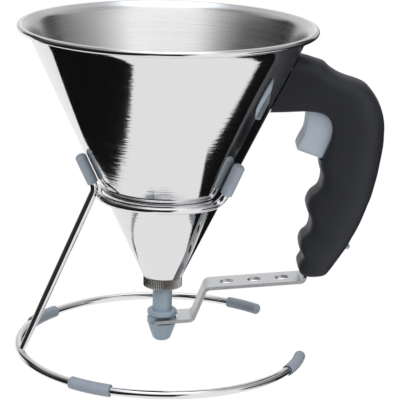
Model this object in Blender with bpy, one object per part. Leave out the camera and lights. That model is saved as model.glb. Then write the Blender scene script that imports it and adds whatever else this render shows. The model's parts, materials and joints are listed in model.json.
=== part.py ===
"""Dispensing funnel on a wire stand.

A steel cone with a sprung valve under it, a pistol handle with a trigger, and a bent wire stand.
Metres, +Z up. The handle points along +X and lies in the plane y = 0. All sizes are worked out on the
cone's axis; at the end every piece is moved along X so that the origin is under the middle of the whole.
"""
import bpy
import bmesh
import numpy as np
from math import atan2, ceil, cos, hypot, pi, radians, sin, sqrt, tan

MM = 0.001

# general clearances
GAP = 0.3 * MM                      # left between pieces that touch
OVER = 1.0 * MM                     # how far a cutting tool runs past a face
HALF = 0.5
FULL_TURN = 2.0 * pi

# cone: sheet steel with a rolled rim
RIM_RADIUS = 75.0 * MM
BEAD_RADIUS = 1.6 * MM
BEAD_HEIGHT = 168.8 * MM            # centre of the rolled rim above the floor
CONE_GAUGE = 0.8 * MM
CONE_REF_RADIUS = 29.4 * MM         # outside radius at the reference height
CONE_REF_HEIGHT = 81.1 * MM
CONE_LEAN_RATIO = 0.4712            # radius gained per height
CONE_SEGMENTS = 64
FLARE_DEPTH = 5.0 * MM              # the sheet turns outwards this far under the rim

# nut, spout and valve under the cone
NUT_TOP = 39.8 * MM
NUT_HEIGHT = 5.6 * MM
NUT_RADIUS = 10.0 * MM
NUT_RIBS = 40
NUT_RIB_DEPTH = 0.4 * MM
NUT_LIP = 1.0 * MM
THREAD_RADIUS = 8.0 * MM
GLAND_HEIGHT = 1.2 * MM
SPOUT_TOP = 46.0 * MM
SPOUT_SHOULDER = 0.8 * MM           # rise of the spout's shoulder above the cone's lower edge
TUBE_RADIUS = 5.0 * MM
TUBE_BORE = 3.0 * MM
FLANGE_RADIUS = 7.6 * MM
FLANGE_TOP = 21.6 * MM
FLANGE_BOTTOM = 18.65 * MM
FLANGE_CHAMFER = 0.6 * MM
SPIGOT_RADIUS = 4.0 * MM
SPIGOT_LENGTH = 8.0 * MM
HEAD_RADIUS = 8.0 * MM
HEAD_THICK = 2.6 * MM
HEAD_DOME = 2.4 * MM
SEAL_THICK = 1.5 * MM
SEAL_OVERHANG = 0.5 * MM
PORT_RADIUS = 2.0 * MM
PORT_DROP = 3.0 * MM                # centre of the side ports below the seat
TIP_BOTTOM = 5.4 * MM
TIP_MOUTH_RADIUS = 4.6 * MM
TIP_WIDE_RADIUS = 7.6 * MM
TIP_SHOULDER = 14.9 * MM            # floor of the two slots for the fork
TIP_TAPER_TOP = 14.8 * MM
TIP_EDGE = 1.0 * MM
TIP_BORE = 3.2 * MM
NECK_HALF = 4.9 * MM                # half the width left between the slots

# lift bar: flat steel
BAR_TILT = radians(5.66)            # the bar rises towards the handle
BAR_HALF = 8.6 * MM
BAR_GAUGE = 1.7 * MM
BAR_LOWER_AT_AXIS = 16.71 * MM      # middle of the lower flat, on the cone's axis
BAR_UPPER_AT_AXIS = 33.24 * MM      # middle of the upper flat, on the cone's axis
RISER_X = 18.72 * MM
RISER_HEIGHT = 26.1 * MM
RISER_LEAN = 0.3733
PRONG_END = -3.6 * MM
FORK_THROAT = 7.9 * MM
HOLE_RADIUS = 3.5 * MM
HOLE_FIRST = 32.9 * MM
HOLE_PITCH = 14.13 * MM
HOLE_COUNT = 3
UPRIGHT_X = 72.1 * MM
UPRIGHT_HEIGHT = 41.0 * MM
UPRIGHT_LEAN = 0.2617
UPRIGHT_HALF = 5.5 * MM
NARROW_HEIGHT = 42.6 * MM           # the bar is narrow above this height
SHELF_HEIGHT = 125.35 * MM
SHELF_END = 103.0 * MM
BEND_RADIUS = 3.0 * MM
SHELF_BEND = 2.0 * MM
WINDOW_HALF = 2.9 * MM
WINDOW_LOW = 116.8 * MM
WINDOW_HIGH = 123.4 * MM
LIFT = 5.4 * MM                     # travel of the valve

# handle: two halves
GRIP_HEIGHT = 120.0 * MM
GRIP_ORIGIN_X = 40.0 * MM
GRIP_ORIGIN_Z = 40.0 * MM
GRIP_HALF = 12.0 * MM
WALL = 2.0 * MM
GRIP_BOX_BACK = 2.7                 # how square the section is on the palm side
# ribs from the arm's end to the foot: finger side (x, z), palm side (x, z), half width, and how
# square the section is on the finger side
GRIP_RIB_SHARES = (
    (0.041, 0.738, 0.118, 0.993, 1.00, 16.0),
    (0.143, 0.742, 0.229, 0.971, 1.00, 16.0),
    (0.203, 0.746, 0.277, 0.957, 1.00, 16.0),
    (0.244, 0.748, 0.314, 0.945, 1.00, 16.0),
    (0.279, 0.746, 0.339, 0.923, 1.00, 16.0),
    (0.306, 0.741, 0.376, 0.900, 1.00, 16.0),
    (0.328, 0.731, 0.417, 0.884, 1.00, 16.0),
    (0.344, 0.714, 0.455, 0.873, 1.00, 16.0),
    (0.353, 0.696, 0.493, 0.855, 1.00, 16.0),
    (0.356, 0.677, 0.523, 0.823, 1.00, 16.0),
    (0.355, 0.658, 0.551, 0.779, 1.00, 14.0),
    (0.352, 0.638, 0.571, 0.727, 1.00, 12.0),
    (0.344, 0.612, 0.580, 0.670, 1.00, 10.0),
    (0.332, 0.582, 0.580, 0.614, 1.00, 8.0),
    (0.320, 0.555, 0.575, 0.565, 1.00, 6.5),
    (0.312, 0.530, 0.569, 0.522, 1.00, 5.5),
    (0.314, 0.500, 0.561, 0.470, 1.00, 4.6),
    (0.323, 0.471, 0.550, 0.419, 1.00, 4.6),
    (0.321, 0.435, 0.539, 0.373, 1.00, 4.6),
    (0.309, 0.404, 0.528, 0.342, 1.00, 4.6),
    (0.280, 0.379, 0.516, 0.306, 1.00, 4.6),
    (0.264, 0.342, 0.500, 0.262, 1.00, 4.6),
    (0.269, 0.314, 0.482, 0.222, 1.00, 4.6),
    (0.281, 0.285, 0.465, 0.190, 1.00, 4.6),
    (0.283, 0.252, 0.449, 0.156, 1.00, 4.6),
    (0.273, 0.219, 0.430, 0.126, 1.00, 4.6),
    (0.251, 0.199, 0.413, 0.099, 1.00, 4.6),
    (0.241, 0.175, 0.401, 0.081, 1.00, 4.6),
    (0.242, 0.149, 0.389, 0.063, 1.00, 4.6),
    (0.256, 0.119, 0.376, 0.046, 1.00, 4.6),
    (0.248, 0.095, 0.363, 0.031, 1.00, 4.6),
    (0.238, 0.073, 0.345, 0.026, 1.00, 4.6),
    (0.244, 0.050, 0.326, 0.028, 0.98, 4.6),
    (0.255, 0.039, 0.306, 0.030, 0.93, 4.6),
    (0.269, 0.034, 0.290, 0.031, 0.84, 4.6),
)
CAVITY_RIB_COUNT = 31               # the grip is hollow down to this rib
SECTION_STEPS = 10                  # steps round the outside of each half
CAVITY_STEPS = 8

# trigger and its pin
PIVOT_X = 77.5 * MM
PIVOT_Z = 134.5 * MM
TRIGGER_SPAN = 30.0 * MM
TRIGGER_HALF = 8.0 * MM
TRIGGER_EDGE = 1.8 * MM
TRIGGER_SHARES = (
    (-0.222, 0.000), (-0.242, -0.150), (-0.244, -0.260), (-0.250, -0.375), (-0.271, -0.520),
    (-0.335, -0.655), (-0.383, -0.760), (-0.390, -0.812), (-0.362, -0.845), (-0.143, -0.920),
    (0.003, -0.968), (0.050, -0.950), (0.103, -0.833), (0.170, -0.667), (0.223, -0.500),
    (0.237, -0.333), (0.203, -0.167), (0.157, -0.033), (0.123, 0.090), (0.037, 0.147),
    (-0.070, 0.137), (-0.163, 0.090),
)
HORN_HALF = 2.3 * MM
HORN_SHARES = (
    (0.083, 0.077), (0.217, 0.000), (0.300, -0.167), (0.417, -0.387), (0.603, -0.387),
    (0.643, -0.348), (0.677, -0.350), (0.723, -0.373), (0.770, -0.407), (0.780, -0.440),
    (0.757, -0.475), (0.700, -0.490), (0.517, -0.503), (0.383, -0.497), (0.217, -0.400),
    (0.083, -0.200),
)
PIN_RADIUS = 1.5 * MM
PIN_HALF = 10.9 * MM
PIN_BOSS_RADIUS = 3.6 * MM
PIN_BOSS_START = 8.4 * MM
POCKET_HALF = 9.3 * MM
POCKET_SHARES = (
    (-0.310, -0.550), (-0.310, -0.040), (0.360, -0.040), (0.420, -0.750), (0.290, -1.000),
    (-0.050, -1.010),
)

# return spring over the shelf
SPRING_X = 98.4 * MM
SPRING_RADIUS = 2.7 * MM
SPRING_WIRE = 0.36 * MM
SPRING_TURNS = 3.2
SPRING_TOP = 135.8 * MM
POST_HALF_X = 3.7 * MM
POST_HALF_Y = 3.6 * MM
POST_HEIGHT = 12.0 * MM

# handle screws, from the far side: (x, z, inner end of the bosses)
SCREW_SPOTS = (
    (66.5 * MM, 143.0 * MM, 1.3 * MM),
    (80.0 * MM, 143.6 * MM, 1.3 * MM),
    (99.6 * MM, 105.0 * MM, 0.0),
    (87.6 * MM, 67.5 * MM, 0.0),
)
SCREW_RADIUS = 1.5 * MM
SCREW_HEAD_RADIUS = 2.8 * MM
SCREW_HEAD_HEIGHT = 2.0 * MM
SCREW_SINK = 0.7 * MM               # head below the handle's side
SCREW_LENGTH = 18.0 * MM
BOSS_RADIUS = 4.4 * MM
PARTING = 0.15 * MM                 # each half stops short of the middle plane by this
FOOT_OPENING = 7.5 * MM             # height of the bar's opening through the front of the foot

# guide pin through the bar's slot, with its light head at the back of the grip
GUIDE_HEIGHT = 57.3 * MM
GUIDE_RADIUS = 1.3 * MM
GUIDE_START = 73.4 * MM
GUIDE_END = 95.4 * MM
GUIDE_BOSS_START = 84.0 * MM
GUIDE_BOSS_RADIUS = 3.0 * MM

# bracket welded on the cone
BRACKET_GAUGE = 1.5 * MM
BRACKET_LOW = 134.8 * MM
BRACKET_HIGH = 149.2 * MM
BRACKET_HALF = 8.3 * MM
WEB_HALF = 1.0 * MM
WEB_LOW = 139.6 * MM
WEB_END = 83.4 * MM
WEB_BACK_TOP = 145.2 * MM
WEB_MIDDLE_X = 76.0 * MM

# wire stand
WIRE_RADIUS = 2.0 * MM
WIRE_SIDES = 10
STAND_TURN = radians(16.5)          # the photo shows the stand turned this far from the handle
BASE_RADIUS = 74.0 * MM
BASE_GAP = radians(30.5)            # half the opening of the base ring
END_RISE = 1.2 * MM                 # the back end of the base ring stands a little higher
END_PULL = 1.3 * MM                 # the front end is bent inwards a little
END_PULL_TURN = radians(45.0)
SLEEVE_RADIUS = 3.1 * MM            # foot and prong sleeves
CAP_RADIUS = 2.85 * MM              # end and leg sleeves are thinner
SLEEVE_SIDES = 16
SLEEVE_END = 1.8 * MM               # height of a closed sleeve's dome
SLEEVE_TURN = radians(17.2)         # arc covered by a foot sleeve
END_TURN_FRONT = radians(16.3)      # arc covered by the front end sleeve
END_TURN_BACK = radians(13.4)
FOOT_ANGLE = radians(134.0)         # middle of each foot sleeve from the opening's middle
SUPPORT_CLEARANCE = 3.072 * MM      # the support ring's middle line outside the cone
SUPPORT_HEIGHT = 83.6 * MM
PRONG_ANGLE = radians(51.3)
PRONG_RISE = 18.8 * MM              # the prongs end this far above the ring
PRONG_BEND = 6.0 * MM
LEG_SLEEVE_RISE = 7.5 * MM          # the leg's sleeve starts this far above the ring
LEG_LEAD = 0.5 * MM                 # the leg ends this far above the prongs
LEG_INSET = 0.3 * MM                # the leg's foot stands this far inside the ring's middle line
LEG_RISE = 2.5 * MM                 # and this far above it
LEG_KNEE_RISE = 4.4 * MM            # and its bend is this far above the ring
LEG_BEND = 7.0 * MM
CAP_COVER = 1.2 * MM                # a closed sleeve reaches past the wire's end by this
RING_STEP = radians(6.0)

STEEL_MIRROR = ("polished_steel", (0.78, 0.79, 0.80, 1.0), 0.08, 1.0)
STEEL_WIRE = ("chrome_wire", (0.75, 0.76, 0.78, 1.0), 0.10, 1.0)
STEEL_NUT = ("nut_steel", (0.55, 0.55, 0.54, 1.0), 0.35, 1.0)
STEEL_BAR = ("bar_steel", (0.62, 0.63, 0.65, 1.0), 0.32, 1.0)
STEEL_PLAIN = ("plain_steel", (0.50, 0.51, 0.52, 1.0), 0.35, 1.0)
PLASTIC_DARK = ("charcoal_plastic", (0.045, 0.047, 0.052, 1.0), 0.45, 0.0)
PLASTIC_LIGHT = ("light_plastic", (0.42, 0.47, 0.53, 1.0), 0.40, 0.0)
PLASTIC_NOZZLE = ("nozzle_plastic", (0.33, 0.38, 0.44, 1.0), 0.35, 0.0)
PLASTIC_SLEEVE = ("sleeve_plastic", (0.22, 0.25, 0.29, 1.0), 0.45, 0.0)
RUBBER_SEAL = ("seal_rubber", (0.70, 0.70, 0.66, 1.0), 0.70, 0.0)

CONE_LEAN = atan2(CONE_LEAN_RATIO, 1.0)
CONE_FOOT = NUT_TOP + GAP
NUT_BOTTOM = NUT_TOP - NUT_HEIGHT
GLAND_BOTTOM = NUT_BOTTOM + NUT_LIP + GAP
SPOUT_BOTTOM = GLAND_BOTTOM + GLAND_HEIGHT + GAP
BASE_HEIGHT = SLEEVE_RADIUS
SLEEVE_BORE = (WIRE_RADIUS + GAP) / cos(pi / SLEEVE_SIDES)
SLEEVE_CORNER = SLEEVE_RADIUS / cos(pi / SLEEVE_SIDES)
CAP_CORNER = CAP_RADIUS / cos(pi / SLEEVE_SIDES)
CONE_AT_SUPPORT = CONE_REF_RADIUS + CONE_LEAN_RATIO * (SUPPORT_HEIGHT - CONE_REF_HEIGHT)
SUPPORT_RADIUS = CONE_AT_SUPPORT + SUPPORT_CLEARANCE
PRONG_TOP = SUPPORT_HEIGHT + PRONG_RISE
PRONG_SLEEVE_LOW = SUPPORT_HEIGHT + PRONG_BEND
LEG_SLEEVE_LOW = SUPPORT_HEIGHT + LEG_SLEEVE_RISE
LEG_TOP = PRONG_TOP + LEG_LEAD
LEG_KNEE_HEIGHT = SUPPORT_HEIGHT + LEG_KNEE_RISE
LEG_FOOT_RADIUS = BASE_RADIUS - LEG_INSET
LEG_FOOT_HEIGHT = BASE_HEIGHT + LEG_RISE
HANDLE_BACK = GRIP_ORIGIN_X + GRIP_HEIGHT * max(rib[2] for rib in GRIP_RIB_SHARES)
FRAME_SHIFT = -HALF * (HANDLE_BACK - (BASE_RADIUS + WIRE_RADIUS))


def clear_scene():
    for thing in list(bpy.data.objects):
        bpy.data.objects.remove(thing, do_unlink=True)


def material(spec):
    name, colour, roughness, metallic = spec
    found = bpy.data.materials.get(name)
    if found:
        return found
    made = bpy.data.materials.new(name)
    made.use_nodes = True
    shader = made.node_tree.nodes["Principled BSDF"]
    shader.inputs["Base Color"].default_value = colour
    shader.inputs["Roughness"].default_value = roughness
    shader.inputs["Metallic"].default_value = metallic
    return made


def make(name, points, faces, spec, origin=(0.0, 0.0, 0.0), smooth=True):
    """A closed mesh object whose origin is the given point; points are in the cone-axis frame."""
    mesh = bpy.data.meshes.new(name)
    local = [tuple(np.subtract(p, origin)) for p in points]
    mesh.from_pydata(local, [], faces)
    work = bmesh.new()
    work.from_mesh(mesh)
    bmesh.ops.recalc_face_normals(work, faces=work.faces)
    work.to_mesh(mesh)
    work.free()
    if smooth:
        mesh.shade_smooth()
        mesh.set_sharp_from_angle(angle=radians(35.0))
    thing = bpy.data.objects.new(name, mesh)
    thing.location = (origin[0] + FRAME_SHIFT, origin[1], origin[2])
    bpy.context.scene.collection.objects.link(thing)
    if spec:
        mesh.materials.append(material(spec))
    return thing


def tool(name, points, faces):
    """A cutting or joining tool: not part of the object itself."""
    thing = make(name, points, faces, None, smooth=False)
    thing.hide_render = True
    thing.display_type = "WIRE"
    return thing


def combine(thing, other, operation):
    step = thing.modifiers.new(other.name, "BOOLEAN")
    step.operation = operation
    step.solver = "EXACT"
    step.object = other


def cut(thing, other):
    combine(thing, other, "DIFFERENCE")


def join(thing, other):
    combine(thing, other, "UNION")


def strip_faces(rows, ring, closed_rows):
    """Quads between neighbouring rings of equal length."""
    faces = []
    for i in range(rows if closed_rows else rows - 1):
        j = (i + 1) % rows
        for k in range(ring):
            m = (k + 1) % ring
            faces.append((i * ring + k, i * ring + m, j * ring + m, j * ring + k))
    return faces


def revolve_data(profile, segments, centre=(0.0, 0.0), phase=0.0):
    """A closed (r, z) outline turned about Z; every radius is above zero."""
    points = []
    for i in range(segments):
        a = FULL_TURN * i / segments + phase
        points += [(centre[0] + r * cos(a), centre[1] + r * sin(a), z) for r, z in profile]
    return points, strip_faces(segments, len(profile), True)


def solid_rings(rings):
    """Rings of points, capped at both ends."""
    ring = len(rings[0])
    points = [p for loop in rings for p in loop]
    faces = strip_faces(len(rings), ring, False)
    faces.append(tuple(reversed(range(ring))))
    last = (len(rings) - 1) * ring
    faces.append(tuple(last + k for k in range(ring)))
    return points, faces


def turned_solid(stations, sides, along):
    """A solid of revolution about Y or X: stations of (place on the axis, radius)."""
    (cx, cy, cz), axis = along
    rings = []
    for place, r in stations:
        loop = []
        for k in range(sides):
            a = FULL_TURN * (k + HALF) / sides
            if axis == "Y":
                loop.append((cx + r * cos(a), cy + place, cz + r * sin(a)))
            else:
                loop.append((cx + place, cy + r * cos(a), cz + r * sin(a)))
        rings.append(loop)
    return solid_rings(rings)


def slab(outline, low, high, edge=0.0):
    """An (x, z) outline given thickness along Y, its rims pulled in by the edge size."""
    inner = inset(outline, edge) if edge else outline
    mid = inset(outline, edge * (1.0 - sqrt(HALF))) if edge else outline
    soft = edge * (1.0 - sqrt(HALF))
    layers = [(low, inner), (low + soft, mid), (low + edge, outline)]
    layers += [(high - edge, outline), (high - soft, mid), (high, inner)]
    if not edge:
        layers = [(low, outline), (high, outline)]
    return solid_rings([[(x, y, z) for x, z in loop] for y, loop in layers])


def inset(outline, depth):
    """The outline moved inwards along its corner normals."""
    area = 0.0
    count = len(outline)
    for i in range(count):
        (x0, z0), (x1, z1) = outline[i], outline[(i + 1) % count]
        area += x0 * z1 - x1 * z0
    way = 1.0 if area > 0.0 else -1.0
    moved = []
    for i in range(count):
        (xa, za), (x, z), (xb, zb) = outline[i - 1], outline[i], outline[(i + 1) % count]
        ta = np.array((x - xa, z - za)) / hypot(x - xa, z - za)
        tb = np.array((xb - x, zb - z)) / hypot(xb - x, zb - z)
        side = ta + tb
        side = side / hypot(side[0], side[1])
        reach = depth / max(HALF, float(np.dot(side, ta)))
        moved.append((x - way * side[1] * reach, z + way * side[0] * reach))
    return moved


def box(name, low, high):
    (x0, y0, z0), (x1, y1, z1) = low, high
    rings = [[(x0, y0, z), (x1, y0, z), (x1, y1, z), (x0, y1, z)] for z in (z0, z1)]
    return tool(name, *solid_rings(rings))


def frames_along(path, first_side):
    """Section frames carried along a path without twist."""
    path = [np.array(p) for p in path]
    side = np.array(first_side, dtype=float)
    frames = []
    for i, p in enumerate(path):
        ahead = path[min(i + 1, len(path) - 1)] - p
        behind = p - path[max(i - 1, 0)]
        way = np.zeros(3)
        for part in (ahead, behind):
            size = np.linalg.norm(part)
            if size > 0.0:
                way = way + part / size
        way = way / np.linalg.norm(way)
        side = side - way * np.dot(side, way)
        side = side / np.linalg.norm(side)
        frames.append((p, way, side, np.cross(way, side)))
    return frames


def ring_at(frame, radius, sides, phase, push=0.0):
    p, way, side, other = frame
    loop = []
    for k in range(sides):
        a = FULL_TURN * (k + phase) / sides
        loop.append(tuple(p + way * push + side * radius * cos(a) + other * radius * sin(a)))
    return loop


def wire(name, path, first_side):
    frames = frames_along(path, first_side)
    rings = [ring_at(f, WIRE_RADIUS, WIRE_SIDES, 0.0) for f in frames]
    return make(name, *solid_rings(rings), STEEL_WIRE)


def sleeve(name, path, first_side, corner, closed=True):
    """A plastic tube round the wire; a closed one has a domed end at the path's end."""
    frames = frames_along(path, first_side)
    outer = [ring_at(f, corner, SLEEVE_SIDES, HALF) for f in frames]
    inner = [ring_at(f, SLEEVE_BORE, SLEEVE_SIDES, HALF) for f in reversed(frames)]
    if not closed:
        points = [p for loop in outer + inner for p in loop]
        return make(name, points, strip_faces(len(outer) + len(inner), SLEEVE_SIDES, True), PLASTIC_SLEEVE)
    dome = []
    for share in (0.35, 0.70, 0.92):
        dome.append(ring_at(frames[-1], corner * sqrt(1.0 - share * share), SLEEVE_SIDES, HALF,
                            GAP + SLEEVE_END * share))
    body = [ring_at(frames[-1], corner, SLEEVE_SIDES, HALF, GAP)]
    return make(name, *solid_rings(inner + outer + body + dome), PLASTIC_SLEEVE)


def arc(radius, height, start, end):
    """Points on a level circle, kept on whole steps so that both sides match."""
    first = ceil(min(start, end) / RING_STEP + 0.2)
    angles = [min(start, end)]
    while first * RING_STEP < max(start, end) - 0.2 * RING_STEP:
        angles.append(first * RING_STEP)
        first += 1
    angles.append(max(start, end))
    if start > end:
        angles.reverse()
    return [(radius * cos(a), radius * sin(a), height) for a in angles]


def base_arc(start, end):
    """Part of the base ring: it rises gently to its back end and is bent inwards at its front end."""
    bent = []
    for x, y, z in arc(BASE_RADIUS, BASE_HEIGHT, start, end):
        from_back = (atan2(y, x) - STAND_TURN) % FULL_TURN - BASE_GAP
        from_front = FULL_TURN - BASE_GAP - BASE_GAP - from_back
        rise = min(1.0, max(0.0, 1.0 - from_back / (FOOT_ANGLE - BASE_GAP - SLEEVE_TURN)))
        pull = 1.0 - END_PULL / BASE_RADIUS * min(1.0, max(0.0, 1.0 - from_front / END_PULL_TURN)) ** 2
        bent.append((x * pull, y * pull, z + END_RISE * sin(HALF * pi * rise)))
    return bent


def curve(p, q, r, steps=6):
    """A smooth bend from p to r that heads for q."""
    p, q, r = np.array(p), np.array(q), np.array(r)
    points = []
    for i in range(steps + 1):
        t = i / steps
        points.append(tuple(p * (1.0 - t) ** 2 + q * 2.0 * t * (1.0 - t) + r * t * t))
    return points


def cone_radius(height):
    return CONE_REF_RADIUS + CONE_LEAN_RATIO * (height - CONE_REF_HEIGHT)


def beside_cone(height, corner):
    """The prongs and the leg run beside the cone, a sleeve's radius and a gap away from it."""
    return cone_radius(height) + (corner + GAP) / cos(CONE_LEAN)


def on_prong(angle, height, corner=SLEEVE_CORNER):
    r = beside_cone(height, corner)
    return (r * cos(angle), r * sin(angle), height)


def rounded(corners, radii, steps=4):
    """A plane path whose corners are replaced by arcs."""
    path = [corners[0]]
    for i in range(1, len(corners) - 1):
        a, b, c = (np.array(corners[j]) for j in (i - 1, i, i + 1))
        u = (a - b) / np.linalg.norm(a - b)
        v = (c - b) / np.linalg.norm(c - b)
        half = HALF * np.arccos(np.clip(np.dot(u, v), -1.0, 1.0))
        reach = radii[i - 1] / tan(half)
        centre = b + (u + v) / np.linalg.norm(u + v) * radii[i - 1] / sin(half)
        first, last = b + u * reach - centre, b + v * reach - centre
        turn = np.arccos(np.clip(np.dot(first, last) / radii[i - 1] ** 2, -1.0, 1.0))
        for k in range(steps + 1):
            t = k / steps
            mix = (first * sin((1.0 - t) * turn) + last * sin(t * turn)) / sin(turn)
            path.append(tuple(centre + mix))
    path.append(corners[-1])
    return path


def build_stand():
    turn = STAND_TURN
    start, end = turn + BASE_GAP, turn + FULL_TURN - BASE_GAP
    wire("base_ring", base_arc(start, end), (cos(start), sin(start), 0.0))
    half = HALF * SLEEVE_TURN
    for name, middle in (("foot_sleeve_back", turn + FOOT_ANGLE), ("foot_sleeve_front", turn - FOOT_ANGLE)):
        path = base_arc(middle - half, middle + half)
        sleeve(name, path, (cos(middle - half), sin(middle - half), 0.0), SLEEVE_CORNER, closed=False)
    end_share = (GAP + WIRE_RADIUS) / BASE_RADIUS
    ends = (("end_sleeve_back", 1.0, END_TURN_BACK), ("end_sleeve_front", -1.0, END_TURN_FRONT))
    for name, way, cover in ends:
        mouth = turn + way * (BASE_GAP + cover)
        tip = turn + way * (BASE_GAP - HALF * end_share)
        sleeve(name, base_arc(mouth, tip), (cos(mouth), sin(mouth), 0.0), CAP_CORNER)

    # support ring: front prong, ring, back prong
    first, last = turn - PRONG_ANGLE, turn + PRONG_ANGLE
    lead = PRONG_BEND / SUPPORT_RADIUS
    level = arc(SUPPORT_RADIUS, SUPPORT_HEIGHT, first + FULL_TURN - lead, last + lead)
    corner_f = (SUPPORT_RADIUS * cos(first), SUPPORT_RADIUS * sin(first), SUPPORT_HEIGHT)
    corner_b = (SUPPORT_RADIUS * cos(last), SUPPORT_RADIUS * sin(last), SUPPORT_HEIGHT)
    bend_f = curve(on_prong(first, SUPPORT_HEIGHT + PRONG_BEND), corner_f, level[0])
    bend_b = curve(level[-1], corner_b, on_prong(last, SUPPORT_HEIGHT + PRONG_BEND))
    path = [on_prong(first, PRONG_TOP)] + bend_f + level[1:-1] + bend_b + [on_prong(last, PRONG_TOP)]
    wire("support_ring", path, (-sin(first), cos(first), 0.0))
    for name, angle in (("prong_sleeve_front", first), ("prong_sleeve_back", last)):
        path = [on_prong(angle, PRONG_SLEEVE_LOW), on_prong(angle, PRONG_TOP + CAP_COVER)]
        sleeve(name, path, (-sin(angle), cos(angle), 0.0), SLEEVE_CORNER)

    # leg, in the plane opposite the openings
    angle = turn + pi
    knee = (beside_cone(LEG_KNEE_HEIGHT, CAP_CORNER), LEG_KNEE_HEIGHT)
    head = (beside_cone(LEG_TOP, CAP_CORNER), LEG_TOP)
    flat = rounded([(LEG_FOOT_RADIUS, LEG_FOOT_HEIGHT), knee, head], [LEG_BEND], 6)
    path = [(r * cos(angle), r * sin(angle), z) for r, z in flat]
    wire("leg_wire", path, (-sin(angle), cos(angle), 0.0))
    path = [on_prong(angle, z, CAP_CORNER) for z in (LEG_SLEEVE_LOW, LEG_TOP + CAP_COVER)]
    sleeve("leg_sleeve", path, (-sin(angle), cos(angle), 0.0), CAP_CORNER)


def build_cone():
    wall = CONE_GAUGE / cos(CONE_LEAN)
    flare_foot = BEAD_HEIGHT - FLARE_DEPTH
    bead = RIM_RADIUS - BEAD_RADIUS
    outer = [(cone_radius(CONE_FOOT), CONE_FOOT), (cone_radius(flare_foot), flare_foot)]
    joint = radians(205.0)
    steps = 7
    for i in range(steps + 1):
        a = joint + (pi * 1.62) * i / steps
        outer.append((bead + BEAD_RADIUS * cos(a), BEAD_HEIGHT + BEAD_RADIUS * sin(a)))
    inner = [(cone_radius(flare_foot) - wall, flare_foot), (cone_radius(CONE_FOOT) - wall, CONE_FOOT)]
    make("funnel_cone", *revolve_data(outer + inner, CONE_SEGMENTS), STEEL_MIRROR)


def build_spout_and_nut():
    inside = CONE_GAUGE / cos(CONE_LEAN) + GAP / cos(CONE_LEAN)
    bore = TUBE_RADIUS + GAP
    shoulder = CONE_FOOT + SPOUT_SHOULDER
    profile = [(bore, SPOUT_BOTTOM), (THREAD_RADIUS, SPOUT_BOTTOM), (THREAD_RADIUS, shoulder)]
    profile += [(cone_radius(shoulder) - inside, shoulder), (cone_radius(SPOUT_TOP) - inside, SPOUT_TOP)]
    profile += [(bore, SPOUT_TOP)]
    make("threaded_spout", *revolve_data(profile, 32), STEEL_PLAIN)

    outside = THREAD_RADIUS - GAP
    profile = [(bore, GLAND_BOTTOM), (outside, GLAND_BOTTOM)]
    profile += [(outside, GLAND_BOTTOM + GLAND_HEIGHT), (bore, GLAND_BOTTOM + GLAND_HEIGHT)]
    make("gland_seal", *revolve_data(profile, 24), RUBBER_SEAL)

    # knurled nut: a ribbed outline, with the thread's bore and a lip at the bottom
    count = NUT_RIBS * 2
    low, high = NUT_RADIUS - NUT_RIB_DEPTH, NUT_RADIUS
    chamfer = NUT_RIB_DEPTH
    lip = TUBE_RADIUS + 2.0 * GAP
    thread = THREAD_RADIUS + GAP
    levels = [(None, NUT_BOTTOM + chamfer), (None, NUT_TOP - chamfer), (low, NUT_TOP), (thread, NUT_TOP)]
    levels += [(thread, NUT_BOTTOM + NUT_LIP), (lip, NUT_BOTTOM + NUT_LIP), (lip, NUT_BOTTOM)]
    levels += [(low, NUT_BOTTOM)]
    rings = []
    for r, z in levels:
        loop = []
        for k in range(count):
            a = FULL_TURN * k / count
            reach = (low, high)[k % 2] if r is None else r
            loop.append((reach * cos(a), reach * sin(a), z))
        rings.append(loop)
    points = [p for loop in rings for p in loop]
    make("knurled_nut", points, strip_faces(len(rings), count, True), STEEL_NUT, (0.0, 0.0, NUT_BOTTOM))


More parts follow.
